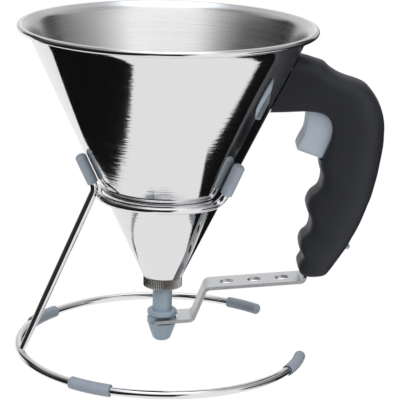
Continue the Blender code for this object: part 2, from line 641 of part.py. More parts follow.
def build_valve():
    seat = SPOUT_TOP
    head_low = seat + GAP + SEAL_THICK + GAP
    head_high = head_low + HEAD_THICK
    spigot_end = FLANGE_BOTTOM - SPIGOT_LENGTH
    bore_top = seat - PORT_DROP + PORT_RADIUS + PORT_RADIUS * HALF
    core = TUBE_BORE * 0.2
    profile = [(TUBE_BORE, spigot_end), (SPIGOT_RADIUS, spigot_end), (SPIGOT_RADIUS, FLANGE_BOTTOM)]
    flat = FLANGE_RADIUS - FLANGE_CHAMFER
    profile += [(flat, FLANGE_BOTTOM), (FLANGE_RADIUS, FLANGE_BOTTOM + FLANGE_CHAMFER)]
    profile += [(FLANGE_RADIUS, FLANGE_TOP - FLANGE_CHAMFER), (flat, FLANGE_TOP)]
    profile += [(TUBE_RADIUS, FLANGE_TOP), (TUBE_RADIUS, head_low), (HEAD_RADIUS, head_low)]
    profile += [(HEAD_RADIUS, head_high), (HEAD_RADIUS * HALF, head_high + HEAD_DOME * 0.8)]
    profile += [(core, head_high + HEAD_DOME), (core, bore_top), (TUBE_BORE, bore_top)]
    sides = 24
    points, faces = revolve_data(profile, sides)
    # close the small core hole of the turned outline at its two levels
    ring = len(profile)
    top, under = profile.index((core, head_high + HEAD_DOME)), profile.index((core, bore_top))
    wall = {(i * ring + top, i * ring + under) for i in range(sides)}
    faces = [f for f in faces if not any(a in f and b in f for a, b in wall)]
    faces.append(tuple(i * ring + top for i in range(sides)))
    faces.append(tuple(i * ring + under for i in range(sides)))
    tube = make("valve_tube", points, faces, PLASTIC_NOZZLE, (0.0, 0.0, FLANGE_BOTTOM))
    drill = seat - PORT_DROP
    span = TUBE_RADIUS + OVER
    for name, axis in (("port_tool_x", "X"), ("port_tool_y", "Y")):
        where = ((0.0, 0.0, drill), axis)
        cut(tube, tool(name, *turned_solid([(-span, PORT_RADIUS), (span, PORT_RADIUS)], 12, where)))

    bore = TUBE_RADIUS + GAP
    outside = HEAD_RADIUS + SEAL_OVERHANG
    profile = [(bore, seat + GAP), (outside, seat + GAP), (outside, seat + GAP + SEAL_THICK)]
    profile += [(bore, seat + GAP + SEAL_THICK)]
    make("valve_seal", *revolve_data(profile, 32), RUBBER_SEAL)

    # nozzle tip: a taper with a block neck between two side slots
    top = FLANGE_BOTTOM - GAP
    socket = SPIGOT_RADIUS + GAP
    socket_floor = spigot_end - GAP
    wide = TIP_WIDE_RADIUS
    profile = [(TIP_BORE, TIP_BOTTOM), (TIP_MOUTH_RADIUS - TIP_EDGE, TIP_BOTTOM)]
    profile += [(TIP_MOUTH_RADIUS, TIP_BOTTOM + TIP_EDGE), (wide, TIP_TAPER_TOP), (wide, top - TIP_EDGE)]
    profile += [(wide - TIP_EDGE, top), (socket, top), (socket, socket_floor), (TIP_BORE, socket_floor)]
    tip = make("nozzle_tip", *revolve_data(profile, 32), PLASTIC_NOZZLE, (0.0, 0.0, TIP_BOTTOM))
    reach = wide + OVER
    for name, side in (("slot_tool_near", -1.0), ("slot_tool_far", 1.0)):
        low_y, high_y = sorted((side * NECK_HALF, side * reach))
        cut(tip, box(name, (-reach, low_y, TIP_SHOULDER), (reach, high_y, top + OVER)))


def bar_flat(x, at_axis):
    return at_axis + x * tan(BAR_TILT)


def upright_x(height):
    return UPRIGHT_X + UPRIGHT_LEAN * (height - UPRIGHT_HEIGHT)


def build_bar():
    slope = tan(BAR_TILT)

    def meet(at_axis):
        # where the riser's middle line meets a flat's middle line
        x = (RISER_X + RISER_LEAN * (at_axis - RISER_HEIGHT)) / (1.0 - RISER_LEAN * slope)
        return (x, bar_flat(x, at_axis))

    foot_x = (UPRIGHT_X + UPRIGHT_LEAN * (BAR_UPPER_AT_AXIS - UPRIGHT_HEIGHT)) / (1.0 - UPRIGHT_LEAN * slope)
    corners = [(PRONG_END, bar_flat(PRONG_END, BAR_LOWER_AT_AXIS)), meet(BAR_LOWER_AT_AXIS)]
    corners += [meet(BAR_UPPER_AT_AXIS), (foot_x, bar_flat(foot_x, BAR_UPPER_AT_AXIS))]
    corners += [(upright_x(SHELF_HEIGHT), SHELF_HEIGHT), (SHELF_END, SHELF_HEIGHT)]
    path = rounded(corners, [BEND_RADIUS, BEND_RADIUS, BEND_RADIUS * HALF + BAR_GAUGE * HALF, SHELF_BEND])
    middle = [np.array(p) for p in path]
    half = HALF * BAR_GAUGE
    # make the narrow part start at its own place on the upright
    for i in range(len(middle) - 1):
        if middle[i][1] < NARROW_HEIGHT < middle[i + 1][1] and middle[i][0] > foot_x - BEND_RADIUS:
            t = (NARROW_HEIGHT - middle[i][1]) / (middle[i + 1][1] - middle[i][1])
            spot = middle[i] + (middle[i + 1] - middle[i]) * t
            after = spot + (middle[i + 1] - spot) / np.linalg.norm(middle[i + 1] - spot) * BAR_GAUGE
            middle[i + 1:i + 1] = [spot, after]
            break
    rings = []
    for i, p in enumerate(middle):
        ahead = middle[min(i + 1, len(middle) - 1)] - p
        behind = p - middle[max(i - 1, 0)]
        way = np.zeros(2)
        for part in (ahead, behind):
            size = np.linalg.norm(part)
            if size > 0.0:
                way = way + part / size
        way = way / np.linalg.norm(way)
        side = np.array((-way[1], way[0]))
        turn = np.linalg.norm(ahead) * np.linalg.norm(behind)
        bend = 1.0
        if turn > 0.0:
            bend = sqrt(HALF * (1.0 + float(np.dot(ahead, behind)) / turn))
        narrow = p[1] > NARROW_HEIGHT + HALF * BAR_GAUGE and p[0] > foot_x - BEND_RADIUS
        wide = UPRIGHT_HALF if narrow else BAR_HALF
        a, b = p + side * half / bend, p - side * half / bend
        rings.append([(a[0], -wide, a[1]), (a[0], wide, a[1]), (b[0], wide, b[1]), (b[0], -wide, b[1])])
    bar = make("lift_bar", *solid_rings(rings), STEEL_BAR, (0.0, 0.0, BAR_LOWER_AT_AXIS), smooth=False)

    throat = NECK_HALF + GAP
    cut(bar, box("fork_tool", (PRONG_END - OVER, -throat, TIP_SHOULDER - OVER),
                 (FORK_THROAT, throat, FLANGE_TOP)))
    for i in range(HOLE_COUNT):
        x = HOLE_FIRST + i * HOLE_PITCH
        z = bar_flat(x, BAR_UPPER_AT_AXIS)
        deep = BAR_GAUGE + OVER
        rings = []
        for way in (-1.0, 1.0):
            cx, cz = x - way * deep * sin(BAR_TILT), z + way * deep * cos(BAR_TILT)
            loop = []
            for k in range(24):
                a = FULL_TURN * k / 24
                u, v = HOLE_RADIUS * cos(a), HOLE_RADIUS * sin(a)
                loop.append((cx + u * cos(BAR_TILT), v, cz + u * sin(BAR_TILT)))
            rings.append(loop)
        cut(bar, tool("hole_tool_" + str(i + 1), *solid_rings(rings)))
    # slot for the guide pin, long enough for the travel
    reach = BAR_GAUGE + OVER
    slot_half = GUIDE_RADIUS + 1.5 * GAP
    low, high = GUIDE_HEIGHT - LIFT - slot_half, GUIDE_HEIGHT + slot_half
    cut(bar, box("slot_tool", (upright_x(low) - reach, -slot_half, low),
                 (upright_x(high) + reach, slot_half, high)))
    # window for the trigger's horn
    cut(bar, box("window_tool", (upright_x(WINDOW_LOW) - reach, -WINDOW_HALF, WINDOW_LOW),
                 (upright_x(WINDOW_HIGH) + reach, WINDOW_HALF, WINDOW_HIGH)))

    # return spring between the shelf and the post in the handle
    foot = SHELF_HEIGHT + half + GAP + SPRING_WIRE
    head = SPRING_TOP - SPRING_WIRE
    steps = int(SPRING_TURNS * 14)
    path = []
    for i in range(steps + 1):
        t = i / steps
        a = FULL_TURN * SPRING_TURNS * t
        path.append((SPRING_X + SPRING_RADIUS * cos(a), SPRING_RADIUS * sin(a), foot + (head - foot) * t))
    frames = frames_along(path, (1.0, 0.0, 0.0))
    rings = [ring_at(f, SPRING_WIRE, 6, 0.0) for f in frames]
    make("return_spring", *solid_rings(rings), STEEL_PLAIN, (SPRING_X, 0.0, SPRING_TOP))


def grip_rib(share):
    fx, fz, bx, bz, width, square = share
    front = (GRIP_ORIGIN_X + fx * GRIP_HEIGHT, GRIP_ORIGIN_Z + fz * GRIP_HEIGHT)
    back = (GRIP_ORIGIN_X + bx * GRIP_HEIGHT, GRIP_ORIGIN_Z + bz * GRIP_HEIGHT)
    return np.array(front), np.array(back), width * GRIP_HALF, square


def half_section(share, side, steps, wall, start):
    """Half of a handle section, from the finger side round to the palm side."""
    front, back, width, square = grip_rib(share)
    along = (back - front) / np.linalg.norm(back - front)
    front, back = front + along * wall, back - along * wall
    middle, reach = HALF * (front + back), HALF * (back - front)
    width -= wall
    loop = []
    for k in range(steps + 1):
        t = -HALF * pi + pi * k / steps
        power = square if t < 0.0 else GRIP_BOX_BACK
        s = abs(sin(t)) ** (2.0 / power) * (1.0 if t > 0.0 else -1.0)
        c = max(0.0, cos(t)) ** (2.0 / power)
        spot = middle + reach * s
        loop.append((spot[0], side * (start + (width - start) * c), spot[1]))
    if wall:
        first, last = loop[0], loop[-1]
        loop = [(first[0], -side * OVER, first[2])] + loop + [(last[0], -side * OVER, last[2])]
    return loop


def build_handle():
    hub = (PIVOT_X, 0.0, PIVOT_Z)
    cone_steps = [(cone_radius(z) + (GAP + HALF * GAP) / cos(CONE_LEAN), z)
                  for z in (GRIP_ORIGIN_Z + GRIP_HEIGHT * HALF, BEAD_HEIGHT)]
    rings = []
    for r, z in cone_steps:
        rings.append([(r * cos(FULL_TURN * k / 96), r * sin(FULL_TURN * k / 96), z) for k in range(96)])
    saddle = tool("saddle_tool", *solid_rings(rings))
    span = TRIGGER_SPAN
    pocket_outline = [(PIVOT_X + u * span, PIVOT_Z + v * span) for u, v in POCKET_SHARES]
    foot_low = (UPRIGHT_X - BEND_RADIUS - WALL, -BAR_HALF - GAP, GRIP_ORIGIN_Z - OVER)
    foot_high = (UPRIGHT_X + BEND_RADIUS + WALL, BAR_HALF + GAP, GRIP_ORIGIN_Z + FOOT_OPENING)
    rise_low = (UPRIGHT_X - HALF * WALL, foot_low[1] - HALF * WALL, GRIP_ORIGIN_Z + OVER)
    rise_high = (foot_high[0] + GAP, foot_high[1] + HALF * WALL, NARROW_HEIGHT + BAR_GAUGE + LIFT + WALL)
    guide_hole = [(GUIDE_START, GUIDE_RADIUS + GAP), (GUIDE_END + OVER, GUIDE_RADIUS + GAP)]

    for name, side in (("near", -1.0), ("far", 1.0)):
        rings = [half_section(s, side, SECTION_STEPS, 0.0, PARTING) for s in GRIP_RIB_SHARES]
        shell = make("handle_half_" + name, *solid_rings(rings), PLASTIC_DARK)
        rings = [half_section(s, side, CAVITY_STEPS, WALL, PARTING)
                 for s in GRIP_RIB_SHARES[:CAVITY_RIB_COUNT]]
        cavity = tool("cavity_tool_" + name, *solid_rings(rings))
        y0, y1 = sorted((-side * OVER, side * POCKET_HALF))
        pocket = tool("pocket_tool_" + name, *slab(pocket_outline, y0, y1))

        join(cavity, pocket)

        # what stays solid inside: pin boss, screw bosses, the spring's post, the guide pin's boss
        far = GRIP_HALF + OVER
        stations = [(side * PIN_BOSS_START, PIN_BOSS_RADIUS), (side * far, PIN_BOSS_RADIUS)]
        cut(cavity, tool("pin_boss_" + name, *turned_solid(stations, 16, (hub, "Y"))))
        for i, (x, z, inner) in enumerate(SCREW_SPOTS):
            stations = [(side * inner, BOSS_RADIUS), (side * far, BOSS_RADIUS)]
            where = ((x, 0.0, z), "Y")
            cut(cavity, tool("boss_%s_%d" % (name, i + 1), *turned_solid(stations, 16, where)))
        y0, y1 = sorted((0.0, side * POST_HALF_Y))
        cut(cavity, box("post_" + name, (SPRING_X - POST_HALF_X, y0, SPRING_TOP + GAP),
                        (SPRING_X + POST_HALF_X, y1, SPRING_TOP + POST_HEIGHT)))
        rings = []
        for x in (GUIDE_BOSS_START, GUIDE_END):
            loop = []
            for k in range(9):
                a = pi * k / 8
                loop.append((x, side * GUIDE_BOSS_RADIUS * sin(a),
                             GUIDE_HEIGHT + GUIDE_BOSS_RADIUS * cos(a)))
            rings.append(loop)
        cut(cavity, tool("guide_boss_" + name, *solid_rings(rings)))

        cut(shell, cavity)
        cut(shell, saddle)
        cut(shell, box("foot_tool_" + name, foot_low, foot_high))
        cut(shell, box("rise_tool_" + name, rise_low, rise_high))
        cut(shell, tool("guide_tool_" + name, *turned_solid(guide_hole, 12, ((0.0, 0.0, GUIDE_HEIGHT), "X"))))
        stations = [(0.0, PIN_RADIUS + GAP), (side * (PIN_HALF + GAP), PIN_RADIUS + GAP)]
        cut(shell, tool("pin_tool_" + name, *turned_solid(stations, 14, (hub, "Y"))))
        for i, (x, z, inner) in enumerate(SCREW_SPOTS):
            where = ((x, 0.0, z), "Y")
            hole = SCREW_RADIUS + GAP
            head_at = GRIP_HALF - SCREW_SINK - SCREW_HEAD_HEIGHT
            if side < 0.0:
                stations = [(OVER, hole), (head_at - SCREW_LENGTH - GAP, hole)]
            else:
                sink = head_at - GAP
                stations = [(-OVER, hole), (sink, hole), (sink, SCREW_HEAD_RADIUS + GAP)]
                stations += [(far, SCREW_HEAD_RADIUS + GAP)]
            cut(shell, tool("screw_tool_%s_%d" % (name, i + 1), *turned_solid(stations, 14, where)))


def build_handle_fittings():
    hub = (PIVOT_X, 0.0, PIVOT_Z)
    stations = [(-PIN_HALF, PIN_RADIUS), (PIN_HALF, PIN_RADIUS)]
    make("trigger_pin", *turned_solid(stations, 14, (hub, "Y")), STEEL_PLAIN)
    under = GRIP_HALF - SCREW_SINK - SCREW_HEAD_HEIGHT
    for i, (x, z, inner) in enumerate(SCREW_SPOTS):
        stations = [(under - SCREW_LENGTH, SCREW_RADIUS), (under, SCREW_RADIUS), (under, SCREW_HEAD_RADIUS)]
        stations += [(under + SCREW_HEAD_HEIGHT, SCREW_HEAD_RADIUS)]
        make("handle_screw_%d" % (i + 1), *turned_solid(stations, 14, ((x, 0.0, z), "Y")), STEEL_PLAIN)
    stations = [(GUIDE_START, GUIDE_RADIUS), (GUIDE_END - GUIDE_RADIUS * HALF, GUIDE_RADIUS)]
    stations += [(GUIDE_END, GUIDE_RADIUS * HALF)]
    make("guide_pin", *turned_solid(stations, 12, ((0.0, 0.0, GUIDE_HEIGHT), "X")), PLASTIC_LIGHT)

    # bracket: a plate along the cone and a web into the arm
    wall = GAP / cos(CONE_LEAN)
    thick = BRACKET_GAUGE / cos(CONE_LEAN)
    plate = []
    for z in (BRACKET_LOW, BRACKET_HIGH):
        x = cone_radius(z) + wall
        plate.append([(x, -BRACKET_HALF, z), (x, BRACKET_HALF, z), (x + thick, BRACKET_HALF, z),
                      (x + thick, -BRACKET_HALF, z)])
    bracket = make("handle_bracket", *solid_rings(plate), STEEL_PLAIN, smooth=False)
    rise = BRACKET_HIGH - OVER
    web = [(cone_radius(WEB_LOW) + wall + HALF * thick, WEB_LOW), (WEB_END, WEB_LOW), (WEB_END, WEB_BACK_TOP)]
    web += [(WEB_MIDDLE_X, rise), (cone_radius(rise) + wall + HALF * thick, rise)]
    join(bracket, tool("web_tool", *slab(web, -WEB_HALF, WEB_HALF)))
    for i, (x, z, inner) in enumerate(SCREW_SPOTS[:2]):
        stations = [(-inner - OVER, SCREW_RADIUS + GAP), (inner + OVER, SCREW_RADIUS + GAP)]
        cut(bracket, tool("web_hole_%d" % (i + 1), *turned_solid(stations, 14, ((x, 0.0, z), "Y"))))


def build_trigger():
    hub = (PIVOT_X, 0.0, PIVOT_Z)
    span = TRIGGER_SPAN
    outline = [(PIVOT_X + u * span, PIVOT_Z + v * span) for u, v in TRIGGER_SHARES]
    trigger = make("trigger", *slab(outline, -TRIGGER_HALF, TRIGGER_HALF, TRIGGER_EDGE), PLASTIC_LIGHT, hub)
    horn = [(PIVOT_X + u * span, PIVOT_Z + v * span) for u, v in HORN_SHARES]
    join(trigger, tool("horn_tool", *slab(horn, -HORN_HALF, HORN_HALF)))
    reach = TRIGGER_HALF + OVER
    stations = [(-reach, PIN_RADIUS + GAP), (reach, PIN_RADIUS + GAP)]
    cut(trigger, tool("trigger_pin_tool", *turned_solid(stations, 14, (hub, "Y"))))


clear_scene()
build_stand()
build_cone()
build_spout_and_nut()
build_valve()
build_bar()
build_handle()
build_handle_fittings()
build_trigger()
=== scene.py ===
import json
import math

import bpy
import bmesh
import numpy as np
from mathutils import Matrix, Vector


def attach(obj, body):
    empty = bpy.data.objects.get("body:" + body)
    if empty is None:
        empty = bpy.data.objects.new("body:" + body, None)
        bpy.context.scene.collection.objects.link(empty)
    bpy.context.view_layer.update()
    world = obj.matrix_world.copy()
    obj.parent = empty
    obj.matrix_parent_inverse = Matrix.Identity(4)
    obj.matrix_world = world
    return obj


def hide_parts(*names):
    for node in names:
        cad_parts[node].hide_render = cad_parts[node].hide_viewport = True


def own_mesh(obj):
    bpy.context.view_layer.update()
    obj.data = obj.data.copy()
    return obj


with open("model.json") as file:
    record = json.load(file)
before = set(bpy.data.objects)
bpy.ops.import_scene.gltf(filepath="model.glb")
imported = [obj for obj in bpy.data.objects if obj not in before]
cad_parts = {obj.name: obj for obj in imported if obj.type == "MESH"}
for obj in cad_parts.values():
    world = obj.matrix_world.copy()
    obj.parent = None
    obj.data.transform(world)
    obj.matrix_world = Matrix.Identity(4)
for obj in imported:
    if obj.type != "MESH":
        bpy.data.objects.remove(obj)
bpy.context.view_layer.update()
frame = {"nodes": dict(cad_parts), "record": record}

MM = 0.001
AXIS_X = -16.8 * MM                     # the cone's axis in the frame
nodes = frame["nodes"]

# the part's own sizes, in millimetres, with x and y from the cone's axis
CLEAR = 0.3                             # left between pieces that touch
CONE_RATIO = 0.4712                     # radius gained per height
CONE_REF_HEIGHT, CONE_REF_RADIUS = 81.1, 29.4
CONE_FOOT = 40.1
CONE_SEGMENTS, CONE_ROWS = 256, 30
SHEET = 0.8
FLARE_START = 166.4                     # the sheet turns outwards from this height
BEAD_MIDDLE, BEAD_HEIGHT, BEAD_RADIUS = 73.4, 168.8, 1.59
BEAD_JOINT, BEAD_SWEEP, BEAD_STEPS = math.radians(205.0), math.radians(291.6), 32
LEAN = math.atan(CONE_RATIO)

NUT_TOP, NUT_BOTTOM = 39.8, 34.2
NUT_RIBS, NUT_RIB_STEPS = 58, 6
NUT_LOW, NUT_HIGH, NUT_EDGE = 9.25, 9.98, 0.35
NUT_THREAD, NUT_MOUTH, NUT_LIP = 8.3, 5.6, 1.0

WIRE_R, WIRE_SIDES, WIRE_END = 2.0, 24, 1.6     # the last is the radius of a wire's end face
SLEEVE_R, CAP_R = 3.1, 2.85             # foot and prong sleeves, end and leg sleeves
BORE = 2.345                            # of every sleeve
SLEEVE_SIDES, SLEEVE_EDGE = 32, 0.35
DOME_STEPS, DOME_HEIGHT, DOME_POWER = 9, 1.68, 0.75
BASE_R = 74.0
STAND_TURN = math.radians(16.5)
BASE_GAP, FOOT_ANGLE = math.radians(30.5), math.radians(134.0)
SLEEVE_TURN = math.radians(17.2)
PRONG_ANGLE = math.radians(51.3)
END_TURNS = (("end_sleeve_back", 1.0, math.radians(13.4)), ("end_sleeve_front", -1.0, math.radians(16.3)))
END_REACH = 1.15                        # the end sleeves' bottom past the wire's end
END_RISE, END_PULL, END_PULL_TURN = 1.2, 1.3, math.radians(45.0)
SUPPORT = 83.6
SUPPORT_OUT = 3.072                     # the support ring's middle line outside the cone
PRONG_BEND, PRONG_TOP, CAP_COVER = 6.0, SUPPORT + 18.8, 1.2
BEND_STEPS = 14
LEG_FOOT_R, LEG_FOOT_HEIGHT = 73.7, SLEEVE_R + 2.5
LEG_KNEE, LEG_TOP, LEG_BEND, LEG_SLEEVE_LOW = SUPPORT + 4.4, PRONG_TOP + 0.5, 7.0, SUPPORT + 7.5
ARC_STEP = math.radians(2.0)

GRIP_X, GRIP_Z, GRIP_SPAN, GRIP_HALF, GRIP_WALL = 40.0, 40.0, 120.0, 12.0, 2.0
GRIP_BACK = 0.5795                      # no rib reaches further back than this share
PALM_POWER = 2.7                        # how square the section is on the palm side
HOLLOW_RIBS = 31
PARTING = 0.15
# the arm's end is cut to the cone, this far from it
SADDLE_LOW, SADDLE_GAP, SADDLE_TURNS = 100.0, 0.45, 240
SECTION_STEPS, HOLLOW_STEPS, SMOOTH_STEPS = 14, 5, 3
PIN_HOLE, PIN_REACH = 1.8, 11.2
PIN_BOSS_START, PIN_BOSS_R, SCREW_BOSS_R = 8.4, 3.6, 4.4
BOSS_END = 13.0                         # bosses and their cuts run past the grip's side
POST_X, POST_HALF_Y, POST_Z = (94.7, 102.1), 3.6, (136.1, 147.8)
FOOT_X, FOOT_HALF_Y, FOOT_Z = (67.1, 77.1), 8.9, (39.0, 47.5)
RISE_X, RISE_HALF_Y, RISE_Z = (71.1, 77.4), 9.9, (41.0, 51.7)
HEAD_HOLE, HEAD_SEAT = 3.1, 9.0
GUIDE_HEIGHT, GUIDE_HOLE, GUIDE_X = 57.3, 1.6, (73.4, 96.4)
GUIDE_BOSS_R, GUIDE_BOSS_X = 3.0, (84.0, 95.4)
ROD_SIDES = 24
TRIGGER_SPAN, TRIGGER_HALF, TRIGGER_EDGE, HORN_HALF = 30.0, 8.0, 0.9, 2.3
POCKET_HALF = 9.3
SPRING_LOW, SPRING_HIGH, SPRING_SEAT = 126.86, 135.44, 126.5
SPRING_X, SPRING_R, SPRING_WIRE, SPRING_TURNS, SPRING_SIDES = 98.4, 2.7, 0.36, 3.2, 12
SPRING_STEPS = 40                       # in each turn
# CAD pieces that stay, with this much taken off their edges
SOFTENED = ("lift_bar", "valve_tube", "nozzle_tip", "threaded_spout", "handle_bracket")
SOFT_EDGE = 0.22

# the camera that was fitted to the photo
CAMERA_TILT, CAMERA_ROLL, CAMERA_FAR = math.radians(15.40), 0.022, 909.5 * MM
CAMERA_AIM = (AXIS_X, 0.0, 81.1 * MM)
PICTURE, FOCAL_PIXELS, SENSOR = 400.0, 1788.4, 36.0
SHIFT_X, SHIFT_Y = 35.5, -2.4           # pixels from the picture's middle to the camera's axis


# materials

def new_material(name, base, rough, metal):
    mat = bpy.data.materials.new(name)
    mat.use_nodes = True
    tree = mat.node_tree
    shader = tree.nodes["Principled BSDF"]
    shader.inputs["Base Color"].default_value = (*base, 1.0)
    shader.inputs["Roughness"].default_value = rough
    shader.inputs["Metallic"].default_value = metal
    return mat, tree, shader


def add(tree, kind, **values):
    node = tree.nodes.new(kind)
    for key, value in values.items():
        if key in node.inputs:
            node.inputs[key].default_value = value
        else:
            setattr(node, key, value)
    return node


def math_node(tree, operation, a, b=None):
    node = add(tree, "ShaderNodeMath", operation=operation)
    for i, value in enumerate((a, b)):
        if value is None:
            continue
        if isinstance(value, (int, float)):
            node.inputs[i].default_value = value
        else:
            tree.links.new(value, node.inputs[i])
    return node.outputs[0]


def position(tree):
    return add(tree, "ShaderNodeTexCoord").outputs["Object"]


def noise(tree, vector, scale, detail=2.0, rough=0.5):
    node = add(tree, "ShaderNodeTexNoise", Scale=scale, Detail=detail, Roughness=rough)
    tree.links.new(vector, node.inputs["Vector"])
    return node.outputs["Fac"]


def stretched(tree, vector, scale):
    node = add(tree, "ShaderNodeMapping")
    node.inputs["Scale"].default_value = scale
    tree.links.new(vector, node.inputs["Vector"])
    return node.outputs["Vector"]


def spread(tree, value, low, high, source=(0.3, 0.7)):
    node = add(tree, "ShaderNodeMapRange")
    node.inputs["From Min"].default_value, node.inputs["From Max"].default_value = source
    node.inputs["To Min"].default_value, node.inputs["To Max"].default_value = low, high
    tree.links.new(value, node.inputs["Value"])
    return node.outputs["Result"]


def bump(tree, shader, height, strength, distance, before=None):
    node = add(tree, "ShaderNodeBump", Strength=strength, Distance=distance)
    tree.links.new(height, node.inputs["Height"])
    if before is not None:
        tree.links.new(before, node.inputs["Normal"])
    tree.links.new(node.outputs["Normal"], shader.inputs["Normal"])
    return node.outputs["Normal"]


def shade(tree, shader, value, dark, light):
    node = add(tree, "ShaderNodeMix", data_type="RGBA")
    node.inputs[6].default_value = (*dark, 1.0)
    node.inputs[7].default_value = (*light, 1.0)
    tree.links.new(value, node.inputs[0])
    tree.links.new(node.outputs[2], shader.inputs["Base Color"])


def polished_steel():
    mat, tree, shader = new_material("polished_steel", (0.80, 0.80, 0.81), 0.045, 1.0)
    # rings round the cone's axis: they depend on height, and a little on the place round it
    where = position(tree)
    rings = noise(tree, stretched(tree, where, (3.0, 3.0, 900.0)), 1.0, 2.0, 0.6)
    fine = noise(tree, stretched(tree, where, (12.0, 12.0, 5200.0)), 1.0, 1.0)
    normal = bump(tree, shader, rings, 0.17, 0.0001)
    bump(tree, shader, fine, 0.06, 0.00002, normal)
    tree.links.new(spread(tree, fine, 0.035, 0.085), shader.inputs["Roughness"])
    return mat


def brushed_inside():
    mat, tree, shader = new_material("brushed_inside", (0.80, 0.80, 0.81), 0.22, 1.0)
    where = position(tree)
    rings = noise(tree, stretched(tree, where, (14.0, 14.0, 2600.0)), 1.0, 3.0, 0.6)
    wide = noise(tree, stretched(tree, where, (4.0, 4.0, 300.0)), 1.0, 2.0)
    normal = bump(tree, shader, rings, 0.30, 0.00006)
    bump(tree, shader, wide, 0.15, 0.00008, normal)
    tree.links.new(spread(tree, rings, 0.18, 0.30), shader.inputs["Roughness"])
    return mat


def chrome_wire():
    mat, tree, shader = new_material("chrome_wire", (0.82, 0.82, 0.83), 0.07, 1.0)
    value = noise(tree, position(tree), 900.0, 3.0)
    tree.links.new(spread(tree, value, 0.03, 0.07), shader.inputs["Roughness"])
    bump(tree, shader, value, 0.03, 0.00001)
    return mat


def plain_metal(name, base, rough, grain, stretch):
    mat, tree, shader = new_material(name, base, rough, 1.0)
    value = noise(tree, stretched(tree, position(tree), stretch), grain, 4.0, 0.6)
    tree.links.new(spread(tree, value, rough * 0.75, rough * 1.3), shader.inputs["Roughness"])
    shade(tree, shader, value, tuple(0.86 * c for c in base), base)
    bump(tree, shader, value, 0.12, 0.00003)
    return mat


def plastic(name, base, rough, grain, depth, gloss=0.5):
    mat, tree, shader = new_material(name, base, rough, 0.0)
    shader.inputs["Specular IOR Level"].default_value = gloss
    where = position(tree)
    fine = noise(tree, where, grain, 3.0, 0.6)
    wide = noise(tree, where, 60.0, 2.0)
    shade(tree, shader, wide, tuple(0.88 * c for c in base), tuple(1.08 * c for c in base))
    tree.links.new(spread(tree, fine, rough * 0.85, rough * 1.15), shader.inputs["Roughness"])
    bump(tree, shader, fine, 0.15, depth)
    return mat


POLISHED = polished_steel()
BRUSHED = brushed_inside()
WIRE = chrome_wire()
NUT = plain_metal("nut_steel", (0.62, 0.60, 0.58), 0.24, 2200.0, (1.0, 1.0, 1.0))
BAR = plain_metal("bar_steel", (0.80, 0.81, 0.83), 0.42, 700.0, (1.0, 6.0, 1.0))
PLAIN = plain_metal("plain_steel", (0.50, 0.51, 0.52), 0.32, 1500.0, (1.0, 1.0, 4.0))
DARK = plastic("charcoal_plastic", (0.016, 0.017, 0.022), 0.44, 2600.0, 0.00003, 0.3)
LIGHT = plastic("light_plastic", (0.36, 0.42, 0.49), 0.38, 2600.0, 0.00002)
NOZZLE = plastic("nozzle_plastic", (0.25, 0.31, 0.37), 0.33, 2600.0, 0.00002)
SLEEVE = plastic("sleeve_plastic", (0.250, 0.287, 0.335), 0.46, 4200.0, 0.00001)
RUBBER = plastic("seal_rubber", (0.62, 0.62, 0.58), 0.65, 2600.0, 0.00003)

BY_SLOT = {
    "polished_steel": POLISHED, "chrome_wire": WIRE, "nut_steel": NUT, "bar_steel": BAR,
    "plain_steel": PLAIN, "charcoal_plastic": DARK, "light_plastic": LIGHT,
    "nozzle_plastic": NOZZLE, "sleeve_plastic": SLEEVE, "seal_rubber": RUBBER,
}
SLOTS = {s["node"]: s["material_slot"] for s in frame["record"]["subparts"]}
for name, thing in nodes.items():
    thing.data.materials.clear()
    thing.data.materials.append(BY_SLOT[SLOTS[name]])
    thing.data.shade_smooth()
    thing.data.set_sharp_from_angle(angle=math.radians(35.0))


# finer pieces in the places of the CAD's faceted ones

def strip_faces(rows, ring, closed_rows):
    faces = []
    for i in range(rows if closed_rows else rows - 1):
        j = (i + 1) % rows
        for k in range(ring):
            m = (k + 1) % ring
            faces.append((i * ring + k, i * ring + m, j * ring + m, j * ring + k))
    return faces


def solid_rings(rings):
    ring = len(rings[0])
    faces = strip_faces(len(rings), ring, False)
    faces.append(tuple(reversed(range(ring))))
    last = (len(rings) - 1) * ring
    faces.append(tuple(last + k for k in range(ring)))
    return [p for loop in rings for p in loop], faces


def revolve(profile, segments):
    points = []
    for i in range(segments):
        a = 2.0 * math.pi * i / segments
        points += [(r * math.cos(a), r * math.sin(a), z) for r, z in profile]
    return points, strip_faces(segments, len(profile), True)


def solid(name, points, faces):
    mesh = bpy.data.meshes.new(name)
    mesh.from_pydata([(x * MM + AXIS_X, y * MM, z * MM) for x, y, z in points], [], faces)
    work = bmesh.new()
    work.from_mesh(mesh)
    bmesh.ops.recalc_face_normals(work, faces=work.faces)
    work.to_mesh(mesh)
    work.free()
    thing = bpy.data.objects.new(name, mesh)
    bpy.context.scene.collection.objects.link(thing)
    return thing


def piece(thing, node, mats, angle=35.0):
    for mat in mats:
        thing.data.materials.append(mat)
    thing.data.shade_smooth()
    thing.data.set_sharp_from_angle(angle=math.radians(angle))
    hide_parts(node)
    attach(thing, BODY_OF[node])
    return thing


def carved(thing, steps):
    """Joins and cuts, applied to the mesh; the tools are gone afterwards."""
    for kind, other in steps:
        step = thing.modifiers.new(other.name, "BOOLEAN")
        step.operation = kind
        step.solver = "EXACT"
        step.object = other
    graph = bpy.context.evaluated_depsgraph_get()
    mesh = bpy.data.meshes.new_from_object(thing.evaluated_get(graph))
    thing.modifiers.clear()
    thing.data = mesh
    for kind, other in steps:
        bpy.data.objects.remove(other, do_unlink=True)
    return thing


BODY_OF = {}
for body, members in frame["record"]["behaviour"]["bodies"].items():
    for member in members:
        BODY_OF[member] = body


def cone_radius(z):
    return CONE_REF_RADIUS + CONE_RATIO * (z - CONE_REF_HEIGHT)


